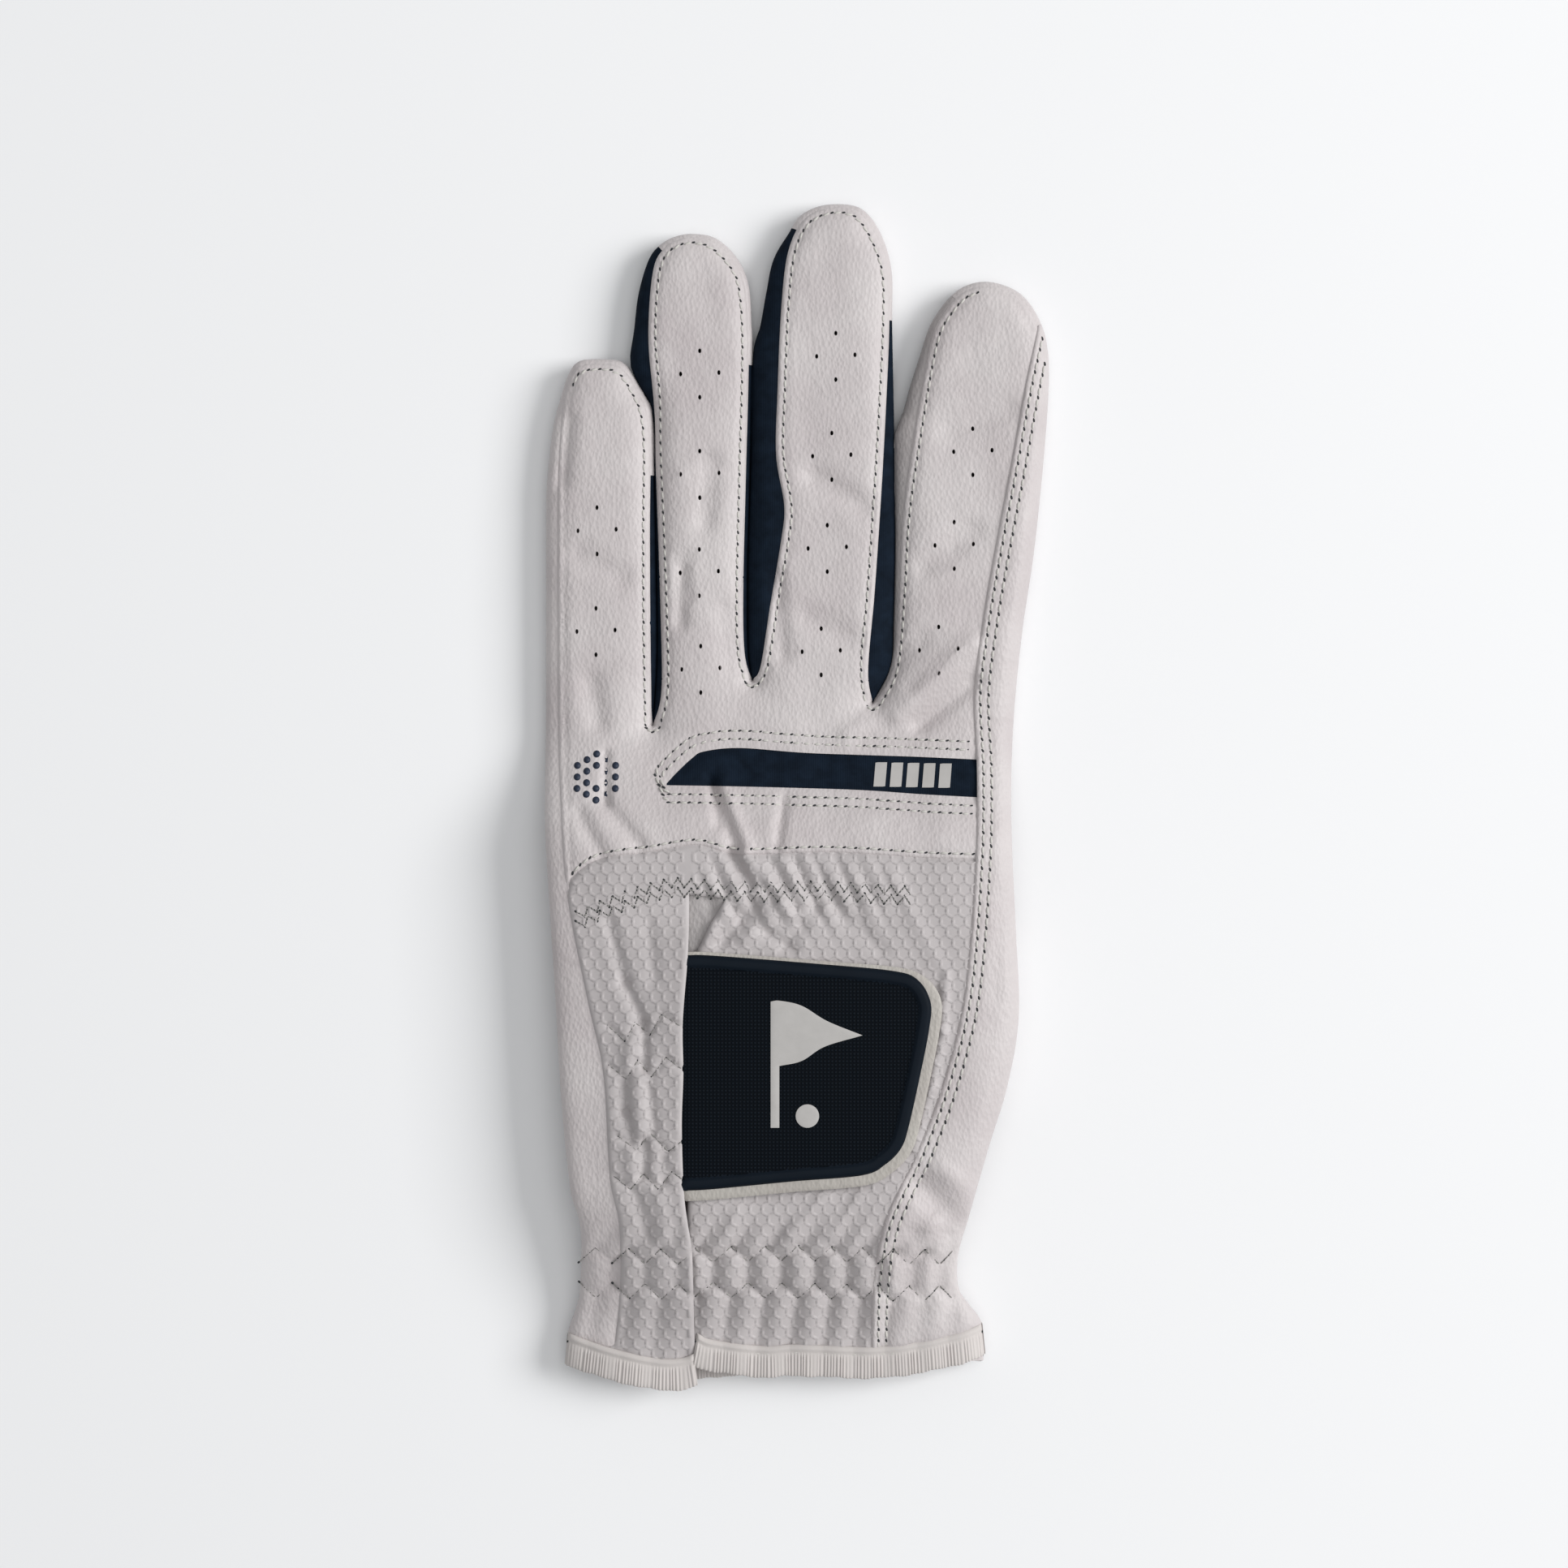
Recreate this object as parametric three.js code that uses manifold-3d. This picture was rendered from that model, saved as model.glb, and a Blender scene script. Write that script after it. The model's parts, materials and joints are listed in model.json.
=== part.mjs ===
// A left-hand golf glove lying palm down, with its thumb folded under the palm. Millimetres, +Z up,
// +Y towards the fingertips, +X towards the thumb side. The origin is under the middle of the glove,
// on the surface that it lies on.
import * as THREE from "three";
import Module from "manifold-3d";
import { mergeVertices } from "three/addons/utils/BufferGeometryUtils.js";

const wasm = await Module();
wasm.setup();

// Driving dimensions.
const SHEET = 1.0; // leather or fabric with its lining
const GAP = 0.3; // between pieces that touch
const THICKNESS = 7.6; // outside of the palm to outside of the back
const BED_RISE = 7.0; // how far the palm is lifted by the thumb under it
const THUMB_THICKNESS = 6.6;
const SLIT_X = -22.6; // the free edge of the back's little-finger half
const SLIT_RISE = 4.2; // how far that edge stands up over the tab's root
const SLIT_TOP = -22; // where the wrist opening ends, towards the fingers
const ARC_STEPS = 10;

// Heights of the layers above the bed, the surface that the palm follows.
const BACK_LOW = THICKNESS - SHEET;
const INSIDE_LOW = SHEET + GAP;
const INSIDE_HIGH = BACK_LOW - GAP;
const ELASTIC_LOW = INSIDE_HIGH - 0.7;
const LOOP_LOW = THICKNESS + GAP;
const HOOK_LOW = LOOP_LOW + 0.5 + GAP;
const STRAP_LOW = HOOK_LOW + 0.4 + GAP;
const BADGE_LOW = STRAP_LOW + 0.7 + GAP;
const BADGE_FLOOR = 0.7; // thickness of the badge inside its raised frame
const BADGE_HEIGHT = 1.2;

// The bed in side view, as [y, z]: on the table at the cuff and the fingers, raised over the thumb.
const BED = [
  [-130, 0],
  [-112, 0],
  [-80, BED_RISE],
  [-12, BED_RISE],
  [14, 0],
  [130, 0],
];

// Each finger: its knuckle hinge's middle, its lean towards the thumb side, its width, its lengths
// from the knuckle hinge to the middle joint's hinge and to the tip, and what its two sides are.
const FOURCHETTE = "fourchette";
const WRAP = "side_wrap";
const FINGERS = [
  { name: "little", at: [-40, 21], lean: 0, width: 20.6, joint: 25, length: 65, round: 9, left: WRAP, right: FOURCHETTE },
  { name: "ring", at: [-19.6, 30], lean: 0, width: 18.6, joint: 27, length: 80.5, round: 12, left: FOURCHETTE, right: FOURCHETTE },
  { name: "middle", at: [4.3, 30], lean: 2.1, width: 23.4, joint: 28, length: 87, round: 15, left: FOURCHETTE, right: FOURCHETTE },
  { name: "index", at: [31.6, 26], lean: 5.5, width: 24.4, joint: 26, length: 75, round: 14, left: FOURCHETTE, right: WRAP },
];

// Outlines of the hand, as [x, y] points.
const CUFF_LINE = [
  [-46, -107.8],
  [-29, -111.4],
  [12, -109.8],
  [36.3, -105.8],
];
const THUMB_EDGE = [
  [31.2, -97],
  [30.8, -91.5],
  [33.5, -82.5],
  [37.2, -69],
  [42, -57.5],
  [43.8, -44],
  [42.8, -30],
  [41.8, -4],
  [43, 14],
];
const LITTLE_EDGE = [
  [-50.5, 0],
  [-49.5, -26],
  [-47, -60],
  [-45, -81],
  [-42.3, -87],
  [-44.5, -99.5],
];
// Where the palm leather that wraps round each side meets the panels of the back.
const THUMB_SEAM = [
  [14.4, -99.4],
  [15.4, -88],
  [21.2, -71.9],
  [29.7, -52.4],
  [33.2, -26.7],
  [35, 0],
  [35, 20],
];
const LITTLE_SEAM = [
  [-48.6, 15],
  [-47.8, -3.4],
  [-43.4, -31.8],
  [-38, -65.3],
  [-35.5, -90],
];
const CROTCHES = { index: [17.8, 19], middle: [-9, 22], ring: [-29.2, 14] };

// Leather of the back above, hex-embossed fabric below.
const FABRIC_SEAM = [
  [-45.3, -17],
  [-39, -12.5],
  [-22, -10.5],
  [33.8, -12],
];
const INSERT = [
  [-25.9, 2.3],
  [-21, 7.1],
  [-11.7, 9.2],
  [34.7, 6.5],
  [34.7, -0.7],
  [-11.7, 1.1],
];
const TAB = { low: -77.6, high: -31.8, right: 25.6, corner: 6.5, taper: 5 };
const TAB_LEFT = SLIT_X + 0.6;
const STRAP_MARGIN = 1.4; // the strap shows this far round the badge
const TAB_HINGE_Z = BED_RISE + THICKNESS + SLIT_RISE + 0.1;
const THUMB_HINGE_X = 39.5;

const COLOURS = {
  leather: [0xdcd8d4, 0.55],
  fabric: [0xd6d2cf, 0.6],
  navy: [0x1a222e, 0.85],
  binding: [0xd2ccc4, 0.9],
  elastic: [0xe6e4df, 0.95],
  tape: [0xcfcabf, 0.95],
  rubber: [0x0c1219, 0.45],
  emblem: [0xb9b9b4, 0.5],
};

const glove = new THREE.Group();

function solid(geometry) {
  const bare = geometry.clone();
  bare.deleteAttribute("normal");
  bare.deleteAttribute("uv");
  const merged = mergeVertices(bare, 1e-4);
  return new wasm.Manifold(
    new wasm.Mesh({
      numProp: 3,
      vertProperties: merged.attributes.position.array,
      triVerts: new Uint32Array(merged.index.array),
    }),
  );
}

function geometryOf(shape) {
  const { vertProperties, triVerts } = shape.getMesh();
  return new THREE.BufferGeometry()
    .setAttribute("position", new THREE.BufferAttribute(vertProperties, 3))
    .setIndex(new THREE.BufferAttribute(triVerts, 1));
}

function add(name, geometry, look, parent = glove) {
  const [color, roughness] = COLOURS[look];
  geometry.computeVertexNormals();
  const mesh = new THREE.Mesh(geometry, new THREE.MeshStandardMaterial({ color, roughness, metalness: 0 }));
  mesh.name = name;
  parent.add(mesh);
  return mesh;
}

function outline(points) {
  return new THREE.Shape(points.map(([x, y]) => new THREE.Vector2(x, y)));
}

// A flat plate of a shape, between two heights.
function plate(shape, low, high) {
  const made = new THREE.ExtrudeGeometry(shape, { depth: high - low, bevelEnabled: false, curveSegments: ARC_STEPS });
  return made.translate(0, 0, low);
}

// The band between two heights above the bed, across the whole glove.
function layer(low, high) {
  const side = outline([...BED.map(([y, z]) => [y, z + low]), ...BED.toReversed().map(([y, z]) => [y, z + high])]);
  const across = new THREE.ExtrudeGeometry(side, { depth: 140, bevelEnabled: false });
  const turned = new THREE.Matrix4().makeBasis(
    new THREE.Vector3(0, 1, 0),
    new THREE.Vector3(0, 0, 1),
    new THREE.Vector3(1, 0, 0),
  );
  return solid(across.applyMatrix4(turned).translate(-70, 0, 0));
}

// A piece of the hand: the part of a layer inside an outline.
function draped(shape, low, high) {
  return layer(low, high).intersect(solid(plate(shape, -5, 40)));
}

// A band of one width along the inside of an edge. side is 1 where the band lies left of the edge's direction.
function edgeBand(points, width, side) {
  const inner = points.map((point, i) => {
    const [before, after] = [points[Math.max(i - 1, 0)], points[Math.min(i + 1, points.length - 1)]];
    const along = new THREE.Vector2(after[0] - before[0], after[1] - before[1]).normalize();
    return [point[0] - side * width * along.y, point[1] + side * width * along.x];
  });
  return outline([...points, ...inner.toReversed()]);
}

// A line moved sideways, for the clearance along a seam.
function shifted(points, dx) {
  return points.map(([x, y]) => [x + dx, y]);
}

// The two ends of a finger's hinge line, little-finger side first, the hand's side of its clearance.
function knuckleEnds({ at, lean, width }) {
  const turn = THREE.MathUtils.degToRad(-lean);
  return [-width / 2, width / 2].map((across) => {
    const end = new THREE.Vector2(across, -GAP / 2).rotateAround(new THREE.Vector2(0, 0), turn);
    return [at[0] + end.x, at[1] + end.y];
  });
}

// The line along the knuckles and the crotches, from the thumb side to the little-finger side.
function knuckleLine() {
  const line = [];
  for (const finger of FINGERS.toReversed()) {
    line.push(...knuckleEnds(finger).toReversed());
    if (CROTCHES[finger.name]) line.push(CROTCHES[finger.name]);
  }
  return line;
}

// One stretch of a finger's outline: from one place along it to another, or to the round tip. The
// finger points along +Y here, and narrow is taken off every side.
function fingerShape({ width, length, round }, from, to, narrow = 0) {
  const half = width / 2 - narrow;
  const shape = new THREE.Shape();
  shape.moveTo(-half, from);
  shape.lineTo(half, from);
  if (to < length) {
    shape.lineTo(half, to);
    shape.lineTo(-half, to);
    return shape;
  }
  shape.lineTo(half, length - round);
  shape.absellipse(0, length - round, half, round - narrow, 0, Math.PI, false);
  return shape;
}

// One side wall of a finger's stretch, side 1 for the thumb side. A tip's wall ends at its middle.
function wall(finger, from, to, side) {
  const far = finger.width;
  const ring = solid(plate(fingerShape(finger, from, to), INSIDE_LOW, INSIDE_HIGH)).subtract(
    solid(plate(fingerShape(finger, from - 1, to < finger.length ? to + 1 : to, SHEET), 0, THICKNESS)),
  );
  const [low, high] = side > 0 ? [GAP / 2, far] : [-far, -GAP / 2];
  const half = outline([[low, -5], [high, -5], [high, finger.length + 5], [low, finger.length + 5]]);
  return ring.intersect(solid(plate(half, 0, THICKNESS)));
}

for (const finger of FINGERS) {
  const place = new THREE.Group();
  place.position.set(finger.at[0], finger.at[1], 0);
  place.rotation.z = THREE.MathUtils.degToRad(-finger.lean);
  glove.add(place);
  const stretches = [
    ["proximal", GAP / 2, finger.joint - GAP / 2],
    ["distal", finger.joint + GAP / 2, finger.length],
  ];
  for (const [stretch, from, to] of stretches) {
    const prefix = `${finger.name}_${stretch}`;
    const shape = fingerShape(finger, from, to);
    add(`${prefix}_back`, plate(shape, BACK_LOW, THICKNESS), "leather", place);
    add(`${prefix}_palm`, plate(shape, 0, SHEET), "leather", place);
    for (const [side, kind, word] of [[-1, finger.left, "left"], [1, finger.right, "right"]]) {
      const name = kind === WRAP ? `${prefix}_${WRAP}` : `${prefix}_${FOURCHETTE}_${word}`;
      const navy = kind === FOURCHETTE && finger.name !== "index";
      add(name, geometryOf(wall(finger, from, to, side)), navy ? "navy" : "leather", place);
    }
  }
}

// The palm, with the hole that the thumb opens into, and the palm leather's two sides.
const palm = outline([...CUFF_LINE, ...THUMB_EDGE, ...knuckleLine(), ...LITTLE_EDGE]);
const thumbHole = new THREE.Path().absellipse(33.2, -46, 4.6, 17, 0, 2 * Math.PI);
palm.holes.push(thumbHole);
add("palm_leather", geometryOf(draped(palm, 0, SHEET)), "leather");
const [indexRight] = knuckleEnds(FINGERS[3]).toReversed();
const [littleLeft] = knuckleEnds(FINGERS[0]);
const thumbSide = [CUFF_LINE.at(-1), ...THUMB_EDGE, indexRight];
const littleSide = [littleLeft, ...LITTLE_EDGE, CUFF_LINE[0]];
add("thumb_side_wall", geometryOf(draped(edgeBand(thumbSide, SHEET, 1), INSIDE_LOW, INSIDE_HIGH)), "leather");
add("little_side_wall", geometryOf(draped(edgeBand(littleSide, SHEET, 1), INSIDE_LOW, INSIDE_HIGH)), "leather");

// The back: leather round the knuckles, the side wraps, and the fabric on both sides of the slit.
const knuckles = knuckleLine();
const leatherEdge = [
  ...FABRIC_SEAM,
  ...shifted(THUMB_SEAM.slice(-2), -GAP),
  [36.6, indexRight[1]],
  ...knuckles.slice(1, -1),
  [-48.4, littleLeft[1]],
  ...shifted(LITTLE_SEAM.slice(0, 2), GAP),
];
const insertHole = solid(plate(outline(INSERT), -5, 40));
add("back_leather", geometryOf(draped(outline(leatherEdge), BACK_LOW, THICKNESS).subtract(insertHole)), "leather");
const insert = outline(INSERT.map(([x, y]) => [x > 30 ? x - 1 : x + 1, y > 5 ? y - GAP : y + (x < -20 ? 0.2 : GAP)]));
add("knuckle_insert", geometryOf(draped(insert, BACK_LOW - 0.2, THICKNESS - 0.3)), "navy");

const thumbWrap = [[14.4, -109.5], CUFF_LINE.at(-1), ...THUMB_EDGE, indexRight, [36.9, indexRight[1]], ...THUMB_SEAM.toReversed()];
add("thumb_side_wrap", geometryOf(draped(outline(thumbWrap), BACK_LOW, THICKNESS)), "leather");
const littleWrap = [CUFF_LINE[0], [-36.7, -109.6], ...LITTLE_SEAM.toReversed(), [-48.7, littleLeft[1]], littleLeft, ...LITTLE_EDGE];
add("little_side_wrap", geometryOf(draped(outline(littleWrap), BACK_LOW, THICKNESS)), "leather");

const fabricTop = FABRIC_SEAM.map(([x, y]) => [x, y - GAP]);
const fabricRight = [
  [SLIT_X + 0.8, -110.5],
  [14.1, -109.5],
  ...shifted(THUMB_SEAM.slice(0, -2), -GAP),
  fabricTop[3],
  fabricTop[2],
  [SLIT_X + 0.8, SLIT_TOP],
];
add("back_fabric_right", geometryOf(draped(outline(fabricRight), BACK_LOW, THICKNESS)), "fabric");
const fabricLeft = [
  [-36.4, -109.6],
  [SLIT_X, -110.8],
  [SLIT_X, SLIT_TOP],
  [SLIT_X, fabricTop[2][1] - 0.4],
  fabricTop[1],
  fabricTop[0],
  ...shifted(LITTLE_SEAM.slice(2), GAP),
];
// The little-finger half rises evenly to the slit's edge.
function raised(geometry) {
  const from = LITTLE_SEAM[2][0];
  const place = geometry.attributes.position;
  for (let i = 0; i < place.count; i++) {
    const share = (place.getX(i) - from) / (SLIT_X - from);
    place.setZ(i, place.getZ(i) + SLIT_RISE * share);
  }
  return geometry;
}
add("back_fabric_left", raised(geometryOf(draped(outline(fabricLeft), BACK_LOW + 0.4, THICKNESS))), "fabric");

// Inside: the elastic tapes that gather the back, and the facing under the slit's end.
function tape(name, left, right, low, high) {
  const shape = outline([[left, low], [right, low], [right, high], [left, high]]);
  add(name, geometryOf(draped(shape, ELASTIC_LOW, INSIDE_HIGH)), "elastic");
}
tape("knuckle_elastic", -10, 25, -24.5, -19);
tape("side_elastic_upper", -37, SLIT_X - 1, -55, -46);
tape("side_elastic_lower", -34, SLIT_X - 1, -76, -68);
tape("wrist_elastic_left", -34, SLIT_X - 1, -99.5, -88);
tape("wrist_elastic_right", SLIT_X + 1.5, 12, -99.5, -88);
const facing = outline([[-27, -14], [-14, -14], [-16, -27], [-22, -31]]);
add("slit_facing", geometryOf(draped(facing, ELASTIC_LOW, INSIDE_HIGH)), "leather");

// The cuff's binding, in three runs: two on the back, parted by the slit, and one on the palm.
const HEM = 0.3;
function binding(name, points, low, high) {
  const top = points.map(([x, y]) => [x, y - HEM]);
  const bottom = points.toReversed().map(([x, y]) => [x, y - 5.6]);
  return [name, geometryOf(draped(outline([...top, ...bottom]), low, high)), "binding"];
}
const PALM_CUFF = [[-46, -108.1], [-29, -111.7], [12, -110.1], [36.3, -106.1]];
const RIGHT_CUFF = [[SLIT_X + 0.8, -111.3], [12, -110.2], [37, -106.1]];
const LEFT_CUFF = [[-46.2, -108.3], [-29, -111.9], [SLIT_X, -111.9]];
const CUFF_TOP = [THICKNESS - 1.6, THICKNESS + 0.2];
add(...binding("cuff_binding_palm", PALM_CUFF, 0, 1.6));
add(...binding("cuff_binding_right", RIGHT_CUFF, ...CUFF_TOP));
const [leftName, leftGeometry, leftLook] = binding("cuff_binding_left", LEFT_CUFF, ...CUFF_TOP);
add(leftName, raised(leftGeometry), leftLook);

// The closing tab: a rounded flap that tapers, with a badge on it and hook tape under it.
function tabShape(grow) {
  const { low, high, right, corner, taper } = TAB;
  const [bottom, top, end] = [low - grow, high + grow, right + grow];
  const shape = new THREE.Shape();
  shape.moveTo(TAB_LEFT, bottom);
  shape.lineTo(end - taper - 2 * corner, bottom + 3.4);
  shape.quadraticCurveTo(end - taper, bottom + 4, end - taper + 1, bottom + 4 + corner + 3);
  shape.lineTo(end, top - 4.5 - corner - 1);
  shape.quadraticCurveTo(end + 0.4, top - 3.4, end - corner - 1, top - 2.6);
  shape.lineTo(TAB_LEFT, top);
  return shape;
}
function onBack(shape, low, high) {
  return plate(shape, BED_RISE + low, BED_RISE + high);
}
function rectangle(left, right, low, high) {
  return outline([[left, low], [right, low], [right, high], [left, high]]);
}
add("loop_patch", onBack(rectangle(-14, 19, -73, -37), LOOP_LOW, LOOP_LOW + 0.5), "tape");
add("hook_patch", onBack(rectangle(-8, 17, -71, -39), HOOK_LOW, HOOK_LOW + 0.4), "tape");
add("tab_strap", onBack(tabShape(STRAP_MARGIN), STRAP_LOW, STRAP_LOW + 0.7), "leather");
const badge = solid(onBack(tabShape(0), BADGE_LOW, BADGE_LOW + BADGE_HEIGHT));
const recess = solid(onBack(rectangle(-19, 17.5, -70.5, -37), BADGE_LOW + BADGE_FLOOR, BADGE_LOW + 5));
add("tab_badge", geometryOf(badge.subtract(recess)), "rubber");

// The emblem: a plain pennant on a pole, with a round base, lying in the badge's recess.
const pennant = new THREE.Shape();
pennant.moveTo(-5, -66);
pennant.lineTo(-3.4, -66);
pennant.lineTo(-3.4, -53);
pennant.lineTo(10, -47);
pennant.lineTo(-3.4, -41);
pennant.lineTo(-5, -41);
add("tab_emblem", onBack(pennant, BADGE_LOW + BADGE_FLOOR + GAP, BADGE_LOW + BADGE_HEIGHT), "emblem");

// The thumb, flat on the table under the palm: two leathers and two side walls.
function thumbShape(narrow) {
  const shape = new THREE.Shape();
  shape.moveTo(THUMB_HINGE_X - 0.2, -66 + narrow);
  shape.lineTo(THUMB_HINGE_X - 0.2, -26 - narrow);
  shape.quadraticCurveTo(24, -17.5 - narrow, 6, -13.6 - narrow);
  shape.bezierCurveTo(-7 + narrow, -11 - narrow, -12 + narrow, -26, -1 + narrow, -36 + narrow);
  shape.quadraticCurveTo(18, -53 + narrow, THUMB_HINGE_X - 0.2, -66 + narrow);
  return shape;
}
const THUMB_INSIDE = [SHEET + GAP, THUMB_THICKNESS - SHEET - GAP];
const thumbUnder = thumbShape(0);
const thumbOver = thumbShape(0);
thumbOver.holes.push(new THREE.Path().absellipse(33.2, -46, 4.2, 16, 0, 2 * Math.PI));
add("thumb_under", plate(thumbUnder, 0, SHEET), "leather");
add("thumb_over", plate(thumbOver, THUMB_THICKNESS - SHEET, THUMB_THICKNESS), "leather");
const thumbRing = solid(plate(thumbShape(0), ...THUMB_INSIDE)).subtract(
  solid(plate(thumbShape(SHEET), 0, THUMB_THICKNESS)),
);
// The two walls part along a line from the tip.
function thumbWall(shape) {
  const open = solid(plate(rectangle(35, 60, -80, 0), 0, THUMB_THICKNESS));
  return geometryOf(thumbRing.intersect(solid(plate(shape, 0, THUMB_THICKNESS))).subtract(open));
}
add("thumb_wall_inner", thumbWall(outline([[-20, -24], [60, -44], [60, 0], [-20, 0]])), "leather");
add("thumb_wall_outer", thumbWall(outline([[-20, -24.4], [-20, -90], [60, -90], [60, -44.4]])), "leather");

// The origin goes under the middle of the glove's box.
const middle = new THREE.Box3().setFromObject(glove, true).getCenter(new THREE.Vector3());
glove.position.set(-middle.x, -middle.y, 0);

export default glove;
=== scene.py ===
import json
import math

import bpy
import numpy as np
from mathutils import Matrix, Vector
from mathutils.geometry import delaunay_2d_cdt


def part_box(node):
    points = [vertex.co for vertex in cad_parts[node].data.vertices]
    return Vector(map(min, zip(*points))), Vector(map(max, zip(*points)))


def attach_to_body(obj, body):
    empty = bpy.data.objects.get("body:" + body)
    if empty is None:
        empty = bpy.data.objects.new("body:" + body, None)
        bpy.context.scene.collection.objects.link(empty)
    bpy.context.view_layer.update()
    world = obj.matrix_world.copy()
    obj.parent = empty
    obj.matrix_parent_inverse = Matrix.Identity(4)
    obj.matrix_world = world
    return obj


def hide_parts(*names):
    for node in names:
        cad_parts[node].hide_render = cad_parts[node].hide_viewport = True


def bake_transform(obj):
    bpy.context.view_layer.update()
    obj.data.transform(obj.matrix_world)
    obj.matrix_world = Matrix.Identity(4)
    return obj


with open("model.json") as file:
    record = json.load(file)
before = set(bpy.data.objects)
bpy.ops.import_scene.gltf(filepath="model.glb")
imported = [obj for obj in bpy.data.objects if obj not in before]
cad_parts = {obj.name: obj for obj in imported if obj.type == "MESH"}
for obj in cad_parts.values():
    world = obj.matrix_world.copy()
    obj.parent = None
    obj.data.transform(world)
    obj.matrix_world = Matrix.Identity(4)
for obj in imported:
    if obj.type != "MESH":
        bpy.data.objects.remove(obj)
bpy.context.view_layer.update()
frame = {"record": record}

RNG = np.random.default_rng(7)

JOINTS = {joint["name"]: joint for joint in frame["record"]["behaviour"]["joints"]}
THUMB_HINGE = (39.5, -46.0, 3.3)
SHIFT = [JOINTS["thumb_swing"]["pos_m"][i] * 1000 - THUMB_HINGE[i] for i in (0, 1)] + [0.0]
BED_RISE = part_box("loop_patch")[0][2] * 1000 - 7.9  # how high the folded thumb lifts the palm

# ---------------------------------------------------------------- curves


def spline(points, step=0.7):
    """A smooth open curve through the points, as evenly spaced points."""
    p = np.array(points, float)
    keep = np.r_[True, np.linalg.norm(np.diff(p, axis=0), axis=1) > 1e-6]
    p = p[keep]
    ends = np.vstack([2 * p[0] - p[1], p, 2 * p[-1] - p[-2]])
    made = []
    for a, b, c, d in zip(ends, ends[1:], ends[2:], ends[3:]):
        for t in np.linspace(0, 1, 10, endpoint=False):
            square, cube = 2 * a - 5 * b + 4 * c - d, 3 * b - a - 3 * c + d
            made.append(0.5 * (2 * b + (c - a) * t + square * t**2 + cube * t**3))
    made.append(p[-1])
    return resample(np.array(made), step=step)


def lengths(curve):
    """How far along a curve each of its points lies."""
    return np.r_[0, np.cumsum(np.linalg.norm(np.diff(curve, axis=0), axis=1))]


def resample(curve, step=None, count=None):
    s = lengths(curve)
    n = count or max(int(round(s[-1] / step)) + 1, 2)
    t = np.linspace(0, s[-1], n)
    return np.column_stack([np.interp(t, s, curve[:, k]) for k in range(curve.shape[1])])


def tangents(curve):
    t = np.gradient(curve, axis=0)
    return t / np.maximum(np.linalg.norm(t, axis=1), 1e-9)[:, None]


def inset(curve, amount):
    """The curve moved to its right-hand side."""
    t = tangents(curve)
    return curve + np.column_stack([t[:, 1], -t[:, 0]]) * np.reshape(amount, (-1, 1))


def nearest(points, curve):
    """Each point's distance to a polyline, and the nearest place on it."""
    a, b = curve[:-1], curve[1:]
    ab = b - a
    size = np.maximum((ab**2).sum(1), 1e-12)
    gaps = np.empty(len(points))
    places = np.empty((len(points), 2))
    for i in range(0, len(points), 4000):
        p = points[i : i + 4000, None]
        t = np.clip(((p - a) * ab).sum(2) / size, 0, 1)
        q = a + t[..., None] * ab
        d = ((p - q) ** 2).sum(2)
        k = d.argmin(1)
        rows = np.arange(len(k))
        gaps[i : i + 4000] = np.sqrt(d[rows, k])
        places[i : i + 4000] = q[rows, k]
    return gaps, places


def distance(points, curves):
    """Each point's distance to the nearest of some polylines."""
    return np.min([nearest(points, curve)[0] for curve in curves], axis=0)


def ring_of(outline):
    """A closed outline as a polyline that comes back to its start."""
    return np.vstack([outline, outline[:1]])


def from_crotch(points):
    """Each point's distance to the nearest crotch between two fingers."""
    return np.min(np.linalg.norm(points[:, None] - CROTCHES[None], axis=2), axis=1)


def inside(points, outline):
    """Which points lie inside a closed outline."""
    x, y = points[:, 0], points[:, 1]
    hit = np.zeros(len(points), bool)
    for (x0, y0), (x1, y1) in zip(outline, np.roll(outline, -1, axis=0)):
        if y0 != y1:
            hit ^= ((y0 > y) != (y1 > y)) & (x < (x1 - x0) * (y - y0) / (y1 - y0) + x0)
    return hit


def ramp(t):
    """From 0 to 1 as t does, smoothly."""
    t = np.clip(t, 0, 1)
    return t * t * (3 - 2 * t)


def bump(d, width):
    """1 at no distance, fading out over a width."""
    return np.exp(-((d / width) ** 2))


# ---------------------------------------------------------------- outlines of the glove


VALLEY_LR = [(-29.2, 75.8), (-28.8, 62.9), (-28.4, 42.0), (-28.3, 27.0), (-29.1, 13.6)]
VALLEY_RM = [(-9.2, 86.6), (-9.7, 62.9), (-10.2, 44.7), (-10.1, 28.6), (-9.3, 22.5)]
VALLEY_MI = [(19.0, 71.8), (19.2, 50.5), (18.9, 35.0), (18.3, 25.4), (14.7, 18.0)]
LEFT_SIDE = [
    (-46.4, -113.0), (-46.1, -107.5), (-44.2, -101.9), (-43.4, -97.0), (-43.2, -85.9),
    (-45.2, -78.0), (-47.0, -60.2), (-48.2, -39.5), (-49.5, -19.2), (-50.4, -0.9), (-50.4, 30.0),
    (-50.4, 55.3),
]
RIGHT_SIDE = [
    (46.8, 47.6), (44.5, 32.0), (42.8, 14.6), (42.0, -6.0), (42.8, -26.7), (43.4, -43.9),
    (41.2, -57.6), (37.3, -70.5), (33.4, -84.2), (31.5, -91.4), (31.7, -98.2), (33.8, -101.6),
    (36.3, -105.3), (36.8, -111.5),
]
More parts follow.
